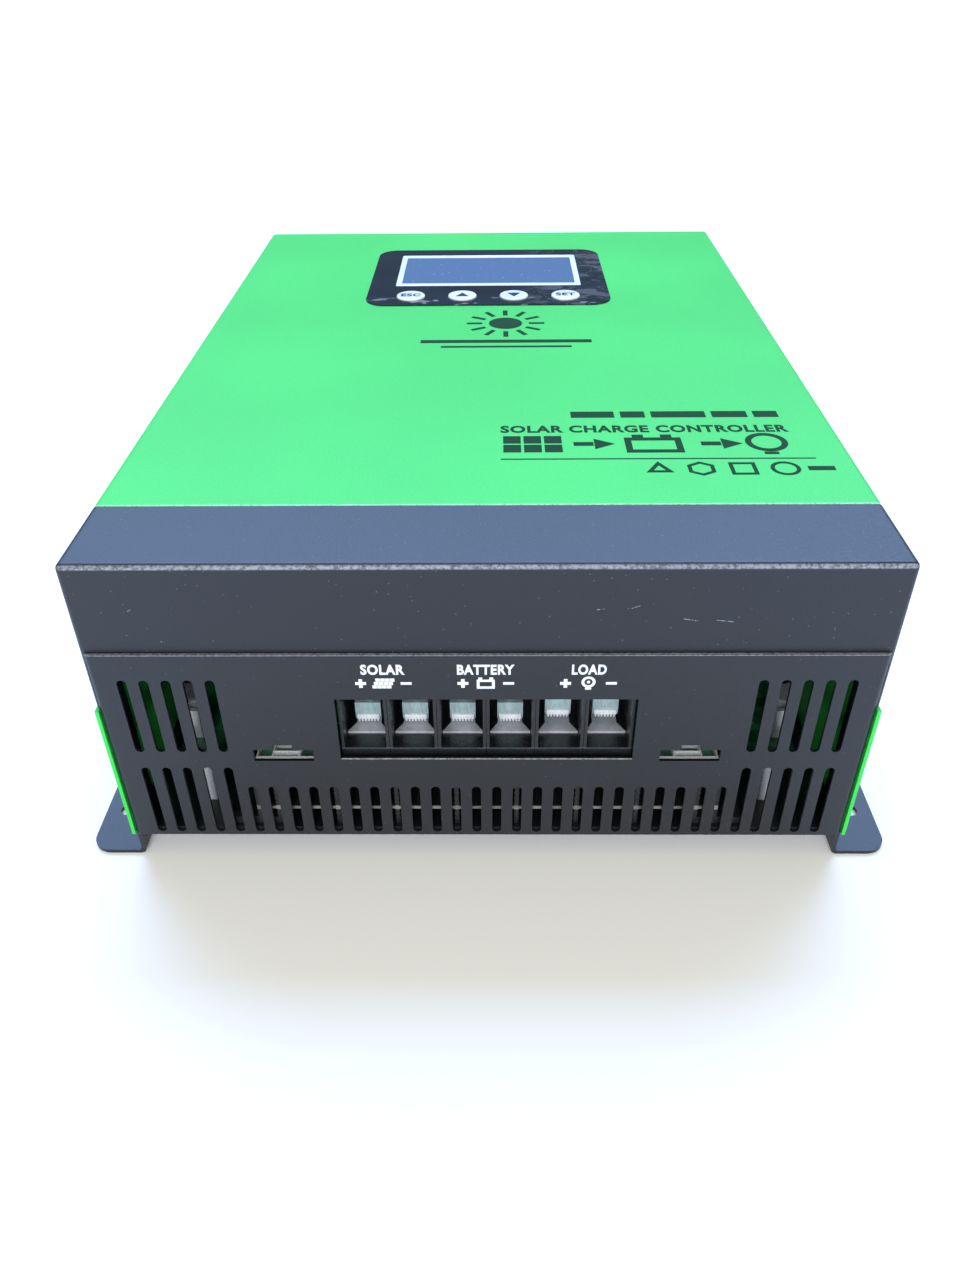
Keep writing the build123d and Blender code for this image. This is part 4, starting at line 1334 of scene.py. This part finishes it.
# ----------------------------------------------------------------------------------- sub-assemblies
@dataclass
class Case:
    """Painted sheet metal: cover, wiring cap, both panels, base plate, and their fasteners."""

    scratches: tuple[Scratch, ...] = (
        Scratch(34.2 * MM, 106.0 * MM, 8.0, 1.2 * MM), Scratch(44.3 * MM, 106.7 * MM, 22.0, 1.5 * MM),
        Scratch(61.2 * MM, 102.1 * MM, -10.0, 2.3 * MM), Scratch(71.3 * MM, 101.7 * MM, -7.0, 2.6 * MM),
        Scratch(-106.0 * MM, 105.8 * MM, 35.0, 0.6 * MM), Scratch(-98.2 * MM, 94.2 * MM, -12.0, 0.9 * MM))
    green: Colour = (0.032, 0.61, 0.066)
    green_fleck: Colour = (0.4, 0.8, 0.45)
    charcoal: Colour = (0.007, 0.009, 0.014)
    charcoal_fleck: Colour = (0.14, 0.15, 0.17)
    # colour of the painted highlight along the cover's lip
    lip_glint: Colour = (0.55, 0.95, 0.68)
    green_peel: tuple[float, float] = (1.1 * MM, 0.04 * MM)       # orange peel: its size and depth
    peel: float = 0.7 * MM
    base_peel: float = 0.8 * MM
    peel_depth: float = 0.06 * MM
    lip_fold: float = 0.4 * MM        # from the wiring cap's rear edge back to the cover's lip, where a highlight is painted
    lip_drop: float = 0.3 * MM
    cap_fold: float = 0.3 * MM        # from the cap's front face back to its rounded edge, where a highlight is painted
    cap_drop: float = 0.9 * MM
    sill_drop: float = 3.4 * MM       # from the top of the terminal bars to the window's lower edge
    sill_gap: float = 0.15 * MM       # between the ports' sides and the window's

    def _charcoal(self, name: str, roughness: float, specks: float, **more: object) -> PowderCoat:
        """One coat of the charcoal paint.

        Args:
            name: The coat's name.
            roughness: Its roughness.
            specks: How much its dust specks show.
            more: What else sets this coat apart.

        Returns:
            The coat.
        """
        look = {"peel_size": self.peel, "peel_depth": self.peel_depth, **more}
        return PowderCoat(name, self.charcoal, roughness, speck_colour=self.charcoal_fleck,
                          speck_amount=specks, **look)

    def dress(self) -> None:
        """Paint the sheets and plate the screws."""
        panel_low, panel_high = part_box("front_panel")
        cap_low, cap_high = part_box("front_cap")
        # painted highlights along the front panel's upper rim and the window's sill
        wear = EdgeHighlight(panel_low.y, panel_high.z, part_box("terminal_bars")[1].z - self.sill_drop,
                    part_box("terminal_housings")[1].x + self.sill_gap)
        coats = {
            "top_cover": PowderCoat("cover_paint", self.green, 0.40, *self.green_peel, self.green_fleck,
                                    0.12, specular=0.4, glint_y=cap_high.y + self.lip_fold,
                                    glint_z=cap_high.z - self.lip_drop, glint_colour=self.lip_glint),
            "front_cap": self._charcoal("cap_paint", 0.40, 0.55, scratches=self.scratches,
                                        glint_y=cap_low.y + self.cap_fold,
                                        glint_z=cap_high.z - self.cap_drop),
            "front_panel": self._charcoal("panel_paint", 0.42, 0.35, wear=wear),
            "rear_panel": self._charcoal("rear_paint", 0.5, 0.4),
            "base_plate": self._charcoal("base_paint", 0.40, 0.3, peel_size=self.base_peel)}
        for node, coat in coats.items():
            dress(node, coat.material())
        black = Plated("black_zinc", (0.045, 0.045, 0.05), 0.34, stain=0.2).material()
        for node in ("cover_screws", "cap_screws", "panel_screws", "heat_sink_screws", "fan_screws"):
            dress(node, black)
        zinc = Plated("bright_zinc", (0.78, 0.80, 0.83), 0.4, stain=0.15, tint=(0.6, 0.66, 0.76),
                      metallic=0.35).material()
        for node in ("cover_brackets", "board_posts", "standoffs"):
            dress(node, zinc)
        dress("tie_brackets", Plated("dull_zinc", (0.90, 0.91, 0.92), 0.6, stain=0.1,
                                     metallic=0.1).material())


@dataclass
class WiringFace:
    """The six screw clamp ports and the white print above them."""

    body: str = "case"
    ports: range = range(1, 7)
    port_pairs: tuple[tuple[str, float], ...] = (
        ("SOLAR", 13.6 * MM), ("BATTERY", 17.7 * MM), ("LOAD", 10.7 * MM))
    window_rise: float = 0.7 * MM     # from the top of the yokes to the window's upper edge
    word_height: float = 3.6 * MM
    word_rise: float = 12.3 * MM      # above the window's upper edge, to the middle of the words
    sign_rise: float = 6.9 * MM       # to the middle of the pictograms
    sign_size: float = 3.4 * MM
    sign_line: float = 1.0 * MM
    sign_reach: float = 7.1 * MM      # from a pictogram to the signs beside it
    cell: tuple[float, float] = (1.38 * MM, 1.22 * MM)
    cell_gap: float = 0.14 * MM
    cell_slant: float = 0.55 * MM
    battery: tuple[float, float] = (5.6 * MM, 3.6 * MM)
    battery_drop: float = 0.3 * MM
    post_size: tuple[float, float] = (1.2 * MM, 0.9 * MM)
    post_place: tuple[float, float] = (1.7 * MM, 1.9 * MM)
    globe_radius: float = 2.2 * MM
    globe_rise: float = 0.5 * MM
    filament_radius: float = 0.55 * MM
    lamp_base: tuple[float, float] = (1.9 * MM, 0.8 * MM)
    lamp_base_drop: float = 2.1 * MM
    outline: float = 0.9 * MM
    bar_thickness: float = 1.0 * MM
    tooth_count: int = 7
    tooth_pitch: float = 1.05 * MM
    tooth_size: Point = (0.6 * MM, 0.35 * MM, 0.9 * MM)
    tooth_rise: float = 0.3 * MM      # from the clamp's lower edge to the teeth
    lip_size: Point = (7.4 * MM, 0.8 * MM, 2.2 * MM)
    lip_gap: float = 0.05 * MM        # between the teeth and the lip above them
    lip_root: float = 0.2 * MM        # how far the lip reaches into the clamp

    def dress(self) -> None:
        """Give plastic, tin and zinc to the ports."""
        port_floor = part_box("terminal_bars")[1].z - self.bar_thickness
        # painted highlight along the ports' front floor edge
        dress("terminal_housings", Moulded("port_plastic", (0.011, 0.012, 0.015), 0.30, 0.3,
                                           highlight_y=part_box("terminal_housings")[0].y,
                                           highlight_z=port_floor).material())
        dress("terminal_bars", Plated("tinned_bar", (0.66, 0.66, 0.72), 0.42, (6.0, 0.4, 1.0), stain=0.4,
                                      tint=(0.36, 0.36, 0.40), metallic=0.2).material())
        dress("terminal_yokes", Plated("yoke_zinc", (0.55, 0.57, 0.6), 0.35).material())
        clamp = Plated("blue_zinc", (0.46, 0.60, 0.60), 0.38, (1.0, 1.0, 0.3), (0.30, 0.50, 0.50),
                       metallic=0.3).material()
        screw = Plated("screw_zinc", (0.66, 0.67, 0.68), 0.28).material()
        for port in self.ports:
            dress(f"terminal_clamp_{port}", clamp)
            dress(f"terminal_screw_{port}", screw)

    def print_labels(self) -> None:
        """Print polarity signs, pictograms and short generic words over the ports."""
        low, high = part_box("terminal_housings")
        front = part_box("front_panel")[0].y
        pitch = (high.x - low.x) / len(self.ports)
        window_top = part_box("terminal_yokes")[1].z + self.window_rise
        white = Ink("white_ink", (0.82, 0.85, 0.88), pinholes=0.25).material()
        signs = (self._panel_sign, self._battery_sign, self._lamp_sign)
        for pair, ((word, width), sign) in enumerate(zip(self.port_pairs, signs)):
            across = low.x + pitch * (2 * pair + 1)
            sheet = Print(f"port_label_{word.lower()}")
            sheet.words(word, across, self.word_rise, self.word_height, width)
            sheet.plus(across - self.sign_reach, self.sign_rise, self.sign_size)
            sheet.bar(across + self.sign_reach, self.sign_rise, self.sign_size, self.sign_line)
            sign(sheet, across)
            sheet.lay((0.0, front, window_top), True, self.body, "white_trim", white)

    def _panel_sign(self, sheet: Print, across: float) -> None:
        """Draw a leaning grid of three rows of four cells.

        Args:
            sheet: The print that it goes on.
            across: Its middle across.
        """
        wide, tall = self.cell
        for row in (-1, 0, 1):
            for column in range(4):
                x = across + (column - 1.5) * (wide + self.cell_gap) + row * self.cell_slant
                sheet.bar(x, self.sign_rise + row * (tall + self.cell_gap), wide, tall)

    def _battery_sign(self, sheet: Print, across: float) -> None:
        """Draw a battery box with two posts.

        Args:
            sheet: The print that it goes on.
            across: Its middle across.
        """
        sheet.frame(across, self.sign_rise - self.battery_drop, *self.battery, self.outline)
        reach, rise = self.post_place
        for side in (-reach, reach):
            sheet.bar(across + side, self.sign_rise + rise, *self.post_size)

    def _lamp_sign(self, sheet: Print, across: float) -> None:
        """Draw a lamp: a globe on a screw base.

        Args:
            sheet: The print that it goes on.
            across: Its middle across.
        """
        middle = self.sign_rise + self.globe_rise
        sheet.ring(across, middle, self.globe_radius, self.outline)
        sheet.disc(across, middle, self.filament_radius)
        sheet.bar(across, self.sign_rise - self.lamp_base_drop, *self.lamp_base)

    def cut_teeth(self) -> None:
        """Give each clamp a rolled lip and a row of grip teeth along its lower edge."""
        # the lip and teeth are real pieces in a near-white copy of the zinc, whose colour paints the
        # highlight along the clamp's lower edge
        finish = Plated("tooth_zinc_highlight", (0.95, 0.97, 0.98), 0.45, stain=0.05, metallic=0.05).material()
        wide, deep, tall = self.tooth_size
        long, proud, high_lip = self.lip_size
        for port in self.ports:
            low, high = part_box(f"terminal_clamp_{port}")
            middle = (low.x + high.x) / 2
            first = middle - (self.tooth_count - 1) / 2 * self.tooth_pitch
            foot = low.z + self.tooth_rise
            tooth = Blank.box("tooth", (first - wide / 2, low.y - deep, foot),
                              (first + wide / 2, low.y, foot + tall))
            tooth.pick(Pick.EDGE, lambda at, way: abs(way.z) > 0.5 and at.y < low.y - deep / 2)
            tooth.bevel(wide * 0.3, 1).leave()
            row = [tooth] + [tooth.copy((step * self.tooth_pitch, 0.0, 0.0))
                             for step in range(1, self.tooth_count)]
            crest = foot + tall + self.lip_gap
            lip = Blank.box("lip", (middle - long / 2, low.y - proud, crest),
                            (middle + long / 2, low.y + self.lip_root, crest + high_lip))
            lip.pick(Pick.EDGE, lambda at, way: at.y < low.y - proud / 2 and abs(way.x) > 0.5)
            lip.bevel(proud * 0.8, 5).leave()
            Blank.joined(f"clamp_teeth_{port}", [*row, lip]).finish(f"clamp_{port}", "zinc_clamp",
                                                                    finish, 40.0)


@dataclass
class DisplayPanel:
    """Overlay, display window and the four keys with their printed legends."""

    key_names: tuple[str, ...] = ("key_esc", "key_up", "key_down", "key_set")
    arrow_size: float = 3.7 * MM
    arrow_shift: float = 0.6 * MM
    word_height: float = 3.8 * MM
    word_width: float = 9.2 * MM
    key_grain: float = 0.01 * MM
    reflection_start: float = 0.55          # where the painted reflections begin, as a share of the overlay's width
    reflection_fade: float = 0.28

    def dress(self) -> None:
        """Finish the overlay, window, display and keys."""
        low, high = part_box("display_overlay")
        wide = high.x - low.x
        # the overlay's colour, with painted reflections towards +X
        dress("display_overlay", GlossFilm(
            "overlay_film_and_reflections", (0.012, 0.024, 0.036), (0.15, 0.14, 0.15), low.x + wide * self.reflection_start,
            wide * self.reflection_fade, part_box("key_up")[0].y).material())
        face_low, face_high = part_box("display_lens")
        dress("lcd_module", LcdFace("display_face", (0.065, 0.125, 0.30), (0.085, 0.145, 0.26),
                                    face_low.y, face_high.y).material())
        dress("display_lens", ClearSheet("display_window", (0.125, 0.215, 0.36), 0.86).material())
        dress("lcd_frame", Moulded("frame_white", (0.80, 0.85, 0.97), 0.35, 0.0).material())
        key = Moulded("key_white", (0.84, 0.88, 0.93), 0.25, 0.02, grain_depth=self.key_grain).material()
        for node in self.key_names:
            dress(node, key)

    def print_legends(self) -> None:
        """Print an arrow or a short word on each key."""
        ink = Ink("legend_ink", (0.035, 0.045, 0.06)).material()
        for node in self.key_names:
            low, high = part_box(node)
            mark = Print(f"{node}_legend")
            if node == "key_up":
                mark.disc(0.0, -self.arrow_shift, self.arrow_size, 3)
            elif node == "key_down":
                mark.disc(0.0, self.arrow_shift, self.arrow_size, 3, 180.0)
            else:
                mark.words(node.removeprefix("key_").upper(), 0.0, 0.0, self.word_height, self.word_width)
            middle = ((low.x + high.x) / 2, (low.y + high.y) / 2, high.z)
            mark.lay(middle, False, node, "overlay_gloss", ink)


@dataclass
class TopPrint:
    """Dark print on the cover: a sun sign, plain bars, one generic line and an energy chain."""

    body: str = "case"
    slot: str = "overlay_gloss"
    ink_colour: Colour = (0.006, 0.05, 0.012)
    sun_place: tuple[float, float] = (8.0 * MM, 22.0 * MM)
    sun_rise: float = 4.0 * MM
    sun_radius: float = 7.5 * MM
    ray_count: int = 12
    ray_reach: float = 14.0 * MM      # from the sun's middle to a ray's middle
    ray_size: tuple[float, float] = (7.0 * MM, 2.2 * MM)
    rules: tuple[Point, ...] = ((-19.0 * MM, 74.0 * MM, 3.6 * MM), (-25.5 * MM, 56.0 * MM, 2.0 * MM))
    bars_left: float = 31.0 * MM
    bars_y: float = -74.5 * MM
    bar_widths: tuple[float, ...] = (16.0 * MM, 9.0 * MM, 20.0 * MM, 13.0 * MM, 9.0 * MM)
    bar_height: float = 5.4 * MM
    bar_gap: float = 2.3 * MM
    title: str = "SOLAR CHARGE CONTROLLER"
    title_place: tuple[float, float] = (56.5 * MM, -87.0 * MM)
    title_size: tuple[float, float] = (5.4 * MM, 103.0 * MM)
    rule_y: float = -111.0 * MM
    rule_size: tuple[float, float] = (107.0 * MM, 0.8 * MM)
    chain_y: float = -99.3 * MM
    cell_left: float = 9.0 * MM
    cell_pitch: tuple[float, float] = (7.2 * MM, 7.0 * MM)
    cell_size: tuple[float, float] = (6.2 * MM, 6.0 * MM)
    arrows_x: tuple[float, ...] = (34.0 * MM, 78.5 * MM)
    shaft_size: tuple[float, float] = (7.0 * MM, 3.0 * MM)
    head_reach: float = 6.2 * MM
    head_radius: float = 4.8 * MM
    box_x: float = 58.5 * MM
    box_drop: float = 1.0 * MM
    box_size: tuple[float, float] = (20.0 * MM, 12.0 * MM)
    box_line: float = 2.4 * MM
    post_place: tuple[float, float] = (5.0 * MM, 6.2 * MM)
    post_size: tuple[float, float] = (4.0 * MM, 2.4 * MM)
    lamp_x: float = 98.0 * MM
    lamp_rise: float = 1.0 * MM
    lamp_radius: float = 7.4 * MM
    lamp_line: float = 2.2 * MM
    base_drop: float = 7.6 * MM
    base_size: tuple[float, float] = (5.0 * MM, 2.0 * MM)
    small_y: float = -118.5 * MM      # the row of small plain shapes
    triangle: Point = (58.0 * MM, 5.4 * MM, 1.5 * MM)       # its middle, its radius and its line
    hexagon: Point = (72.0 * MM, 5.2 * MM, 1.4 * MM)
    circle: Point = (100.0 * MM, 5.0 * MM, 1.4 * MM)
    square: Point = (86.0 * MM, 9.0 * MM, 1.4 * MM)         # its middle, its side and its line
    dash: Point = (112.0 * MM, 9.0 * MM, 3.0 * MM)

    def make(self) -> None:
        """Lay the sun sign, the bars and the chain on the cover."""
        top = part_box("top_cover")[1].z
        ink = Ink("cover_ink", self.ink_colour, 0.45).material()
        self._sun().lay((*self.sun_place, top), False, self.body, self.slot, ink)
        self._bars().lay((0.0, 0.0, top), False, self.body, self.slot, ink)
        self._chain().lay((0.0, 0.0, top), False, self.body, self.slot, ink)

    def _sun(self) -> Print:
        """Draw a sun with its rays, over two rules.

        Returns:
            The print, around its own zero.
        """
        sheet = Print("sun_sign").disc(0.0, self.sun_rise, self.sun_radius, 40)
        for ray in range(self.ray_count):
            degrees = ray * 360.0 / self.ray_count
            turn = math.radians(degrees)
            sheet.bar(self.ray_reach * math.cos(turn), self.sun_rise + self.ray_reach * math.sin(turn),
                      *self.ray_size, degrees)
        for y, width, height in self.rules:
            sheet.bar(0.0, y, width, height)
        return sheet

    def _bars(self) -> Print:
        """Draw the row of bars, the generic line and the long rule.

        Returns:
            The print, in the cover's own place.
        """
        sheet = Print("rating_bars")
        left = self.bars_left
        for width in self.bar_widths:
            sheet.bar(left + width / 2, self.bars_y, width, self.bar_height)
            left += width + self.bar_gap
        sheet.words(self.title, *self.title_place, *self.title_size)
        return sheet.bar(self.box_x, self.rule_y, *self.rule_size)

    def _chain(self) -> Print:
        """Draw the large row: panel, arrow, battery, arrow, lamp, and the small row below it.

        Returns:
            The print, in the cover's own place.
        """
        sheet = Print("energy_chain")
        row, small = self.chain_y, self.small_y
        for column in range(3):
            for line in (-0.5, 0.5):
                sheet.bar(self.cell_left + column * self.cell_pitch[0], row + line * self.cell_pitch[1],
                          *self.cell_size)
        for arrow in self.arrows_x:
            sheet.bar(arrow, row, *self.shaft_size)
            sheet.disc(arrow + self.head_reach, row, self.head_radius, 3, -90.0)
        sheet.frame(self.box_x, row - self.box_drop, *self.box_size, self.box_line)
        reach, rise = self.post_place
        for side in (-reach, reach):
            sheet.bar(self.box_x + side, row + rise, *self.post_size)
        sheet.ring(self.lamp_x, row + self.lamp_rise, self.lamp_radius, self.lamp_line)
        sheet.bar(self.lamp_x, row - self.base_drop, *self.base_size)
        for (across, radius, line), sides in ((self.triangle, 3), (self.hexagon, 6)):
            sheet.ring(across, small, radius, line, sides)
        across, side, line = self.square
        sheet.frame(across, small, side, side, line)
        across, radius, line = self.circle
        sheet.ring(across, small, radius, line)
        across, width, height = self.dash
        return sheet.bar(across, small, width, height)


@dataclass
class Electronics:
    """Heat sink, boards and the parts on them."""

    body: str = "case"
    turns: int = 22
    turns_span: float = 330.0         # the part of a core's circle that carries wire, in degrees
    wire: float = 1.15 * MM
    wire_gap: float = 1.3 * MM        # from the core to the wire's centre line
    wire_corner: float = 1.6 * MM
    ring_width: float = 9.5 * MM
    sink_foot: float = 4.5 * MM
    web_share: float = 0.42           # the web's height, as a share of the heat sink's above its foot
    core_pitch: float = 1.27 * MM
    marked_edge: float = 1.0 * MM

    def dress(self) -> None:
        """Finish everything inside the case."""
        low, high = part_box("heat_sink")
        web = low.z + (high.z - low.z - self.sink_foot) * self.web_share
        board = CircuitBoard("board_mask").material()
        resin = Moulded("black_resin", (0.018, 0.018, 0.019), 0.5, 0.05).material()
        finishes = {
            "heat_sink": Extrusion("sink_anodise", (0.022, 0.023, 0.026), (0.34, 0.33, 0.30), web,
                                   low.y).material(),
            "main_board": board,
            "display_board": board,
            "power_transistors": resin,
            "tact_switches": resin,
            "cable_plugs": resin,
            "thermal_pads": Putty("thermal_pad", (0.32, 0.38, 0.45)).material(),
            "current_shunts": Plated("shunt_alloy", (0.6, 0.45, 0.33), 0.4).material(),
            "inductor_cores": Putty("iron_powder", (0.10, 0.13, 0.11), 0.3).material(),
            "inductor_windings": CoilWire("enamelled_sleeve").material(),
            "capacitors": CanSleeve("can_sleeve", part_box("capacitors")[1].z).material(),
            "display_studs": Plated("brass_stud", (0.62, 0.45, 0.20), 0.3).material(),
            "display_cable": RibbonFilm("ribbon_film", self.core_pitch,
                                        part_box("display_cable")[0].x + self.marked_edge).material()}
        for node, finish in finishes.items():
            dress(node, finish)

    def wind_coils(self) -> None:
        """Wind each core with separate turns of wire, in place of the plain sleeves."""
        low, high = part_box("inductor_cores")
        outer = (high.y - low.y) / 2
        row, lift = (low.y + high.y) / 2, (low.z + high.z) / 2
        loop = Blank.wire_loop("turn", self.ring_width / 2 + self.wire_gap,
                               (high.z - low.z) / 2 + self.wire_gap, self.wire_corner, self.wire)
        loop.object.location = (outer - self.ring_width / 2, 0.0, 0.0)
        loop.settle()
        turns = [loop]
        for step in range(1, self.turns):
            turns.append(loop.copy(ORIGIN).turned(step * self.turns_span / self.turns, UP, ORIGIN))
        coil = Blank.joined("coil", turns)
        spread = (high.x - low.x) / 2 - outer
        coils = [coil.copy((across, row, lift)) for across in (-spread, spread)]
        coil.object.location = (0.0, row, lift)
        coil.settle()
        whole = Blank.joined("coil_turns", [coil, *coils]).finish(
            self.body, "copper_wire", CoilWire("enamelled_copper").material(), 60.0)
        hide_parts("inductor_windings")


@dataclass
class Fans:
    """Two axial fans on the rear panel, behind round-wire finger guards."""

    body: str = "case"
    rings: tuple[float, ...] = (12.0 * MM, 20.0 * MM, 28.0 * MM, 36.0 * MM)
    wire: float = 1.1 * MM
    eye: float = 3.4 * MM
    dome: float = 0.45 * MM           # how far each smaller ring stands proud of the next
    spoke_rise: float = 0.54 * MM     # how far a spoke's inner end stands proud of the flat guard
    screw_head: float = 3.2 * MM      # a screw head's radius

    def bend_guards(self) -> None:
        """Bend both finger guards from round wire, in place of the flat ones."""
        low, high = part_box("fan_guards")
        screw_low, screw_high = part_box("fan_screws")
        height = (low.z + high.z) / 2
        corner = (screw_high.z - screw_low.z) / 2 - self.screw_head
        across = screw_low.x + self.screw_head + corner
        reach = self.rings[0] / math.sqrt(2)
        away = corner - (self.eye + self.wire * 0.3) / math.sqrt(2)
        foot = low.y + self.wire
        wires: list[Blank] = []
        for middle in (across, -across):
            for count, radius in enumerate(reversed(self.rings)):
                wires.append(Blank.wire_ring("ring", (middle, high.y + self.dome * count, height), radius,
                                             self.wire))
            for turn_x in (-1, 1):
                for turn_z in (-1, 1):
                    eye_at = (middle + turn_x * corner, foot, height + turn_z * corner)
                    wires.append(Blank.wire_ring("eye", eye_at, self.eye, self.wire, 20))
                    inner = (middle + turn_x * reach, high.y + self.spoke_rise, height + turn_z * reach)
                    outer = (middle + turn_x * away, foot, height + turn_z * away)
                    wires.append(Blank.rod("spoke", inner, outer, self.wire, 10))
        whole = Blank.joined("finger_guards", wires).finish(
            self.body, "guard_chrome", self._chrome("guard_wire"), 50.0)
        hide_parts("fan_guards")

    def _chrome(self, name: str) -> bpy.types.Material:
        """The guards' bright plate."""
        return Plated(name, (0.68, 0.69, 0.70), 0.16, stain=0.1).material()

    def dress(self) -> None:
        """Finish frames, rotors and guards."""
        black = Moulded("fan_plastic", (0.016, 0.016, 0.018), 0.38, 0.1).material()
        for hand in ("left", "right"):
            dress(f"fan_frame_{hand}", black)
            dress(f"fan_rotor_{hand}", black)
        dress("fan_guards", self._chrome("guard_chrome"))


@dataclass(frozen=True)
class Softbox:
    """One rectangular studio light."""

    name: str
    place: Point
    aim: Point
    size: tuple[float, float]
    power: float
    colour: Colour

    def hang(self) -> None:
        """Hang the light and turn it to its aim."""
        data = bpy.data.lights.new(self.name, "AREA")
        data.shape = "RECTANGLE"
        data.size, data.size_y = self.size
        data.energy = self.power
        data.color = self.colour
        lamp = bpy.data.objects.new(self.name, data)
        bpy.context.scene.collection.objects.link(lamp)
        lamp.location = self.place
        lamp.visible_camera = False
        lamp.rotation_euler = (Vector(self.aim) - Vector(self.place)).to_track_quat("-Z", "Y").to_euler()


@dataclass
class Studio:
    """Floor, backdrop, lights and camera."""

    floor_half: float = 40.0
    floor_z: float = -0.2 * MM
    dome_radius: float = 5.9
    sky: Colour = (0.86, 0.93, 1.0)
    sky_strength: float = 0.2
    lights: tuple[Softbox, ...] = (
        Softbox("overhead", (0.0, -0.4, 4.0), ORIGIN, (6.5, 6.0), 62.0, (1.0, 0.85, 0.45)),
        Softbox("front_key", (-0.2, -3.1, 2.0), (0.0, 0.0, 0.06), (1.0, 1.0), 44.0, (0.93, 0.96, 1.0)),
        Softbox("sky_panel", (0.0, 3.9, 4.7), (0.0, 0.0, 0.1), (8.0, 4.2), 860.0, (0.38, 0.58, 1.0)),
        Softbox("side_fill", (-1.35, -3.0, 0.4), (0.0, 0.0, 0.06), (0.6, 0.4), 22.0, (0.95, 0.97, 1.0)),
        Softbox("side_fill", (1.35, -3.0, 0.4), (0.0, 0.0, 0.06), (0.6, 0.4), 22.0, (0.95, 0.97, 1.0)))
    lens: float = 28.11
    sensor: float = 36.0
    nearest: float = 10.0 * MM
    pitch: float = 36.40
    yaw: float = 0.98
    roll: float = 0.66
    stand_off: float = 241.9 * MM     # from the front panel to the lens
    eye_height: float = 274.2 * MM
    eye_offset: float = 2.5 * MM

    def make(self) -> None:
        """Build the stage."""
        self._floor()
        self._dome()
        self._world()
        for light in self.lights:
            light.hang()
        self._camera()

    def _floor(self) -> None:
        """Lay a wide pale floor under the object."""
        Blank.clear()
        bpy.ops.mesh.primitive_plane_add(size=2 * self.floor_half, location=(0.0, 0.0, self.floor_z))
        floor = Blank("studio_floor").object
        floor.data.materials.append(StudioFloor().material())

    def _dome(self) -> None:
        """Stand a pale backdrop round the floor, which only the camera sees, so that it lights nothing."""
        Blank.clear()
        bpy.ops.mesh.primitive_uv_sphere_add(segments=64, ring_count=32, radius=self.dome_radius)
        dome = Blank("studio_dome")
        dome.pick(Pick.FACE, lambda middle, _: middle.z < 0.0)
        bpy.ops.mesh.delete(type="FACE")
        dome.leave()
        bpy.ops.object.shade_smooth()
        dome.object.data.materials.append(StudioDome().material())
        for rays in ("diffuse", "glossy", "transmission", "shadow"):
            setattr(dome.object, f"visible_{rays}", False)

    def _world(self) -> None:
        """Fill the room with a weak cool light."""
        world = bpy.data.worlds.new("studio")
        bpy.context.scene.world = world
        world.use_nodes = True
        back = world.node_tree.nodes["Background"]
        back.inputs["Color"].default_value = (*self.sky, 1.0)
        back.inputs["Strength"].default_value = self.sky_strength
        bpy.context.scene.view_settings.view_transform = "Standard"

    def _camera(self) -> None:
        """Stand the camera where the wiring face and the top both show."""
        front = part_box("front_panel")[0].y
        pitch, yaw, roll = (math.radians(a) for a in (self.pitch, self.yaw, self.roll))
        ahead = Vector((-math.sin(yaw) * math.cos(pitch), math.cos(yaw) * math.cos(pitch),
                        -math.sin(pitch)))
        right = Vector((math.cos(yaw), math.sin(yaw), 0.0))
        up = right.cross(ahead)
        across = math.cos(roll) * right - math.sin(roll) * up
        upward = math.sin(roll) * right + math.cos(roll) * up
        data = bpy.data.cameras.new("viewpoint")
        data.lens = self.lens
        data.sensor_width = self.sensor
        data.clip_start = self.nearest
        camera = bpy.data.objects.new("viewpoint", data)
        bpy.context.scene.collection.objects.link(camera)
        turn = Matrix((across, upward, -ahead)).transposed().to_4x4()
        place = Matrix.Translation((self.eye_offset, front - self.stand_off, self.eye_height))
        camera.matrix_world = place @ turn
        bpy.context.scene.camera = camera


def main() -> None:
    """Build the object's looks, sub-assembly by sub-assembly, then the stage."""
    logging.basicConfig(level=logging.INFO, format="%(name)s: %(message)s", force=True)
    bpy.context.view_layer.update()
    Studio().make()
    Case().dress()
    face = WiringFace()
    face.dress()
    face.print_labels()
    face.cut_teeth()
    display = DisplayPanel()
    display.dress()
    display.print_legends()
    TopPrint().make()
    electronics = Electronics()
    electronics.dress()
    electronics.wind_coils()
    fans = Fans()
    fans.dress()
    fans.bend_guards()


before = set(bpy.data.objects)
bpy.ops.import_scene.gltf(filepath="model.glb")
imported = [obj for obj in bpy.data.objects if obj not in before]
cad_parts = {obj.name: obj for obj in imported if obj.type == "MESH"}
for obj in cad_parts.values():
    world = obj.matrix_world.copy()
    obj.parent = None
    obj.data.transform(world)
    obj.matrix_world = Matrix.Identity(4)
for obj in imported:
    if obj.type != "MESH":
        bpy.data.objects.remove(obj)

if __name__ == "__main__":
    main()
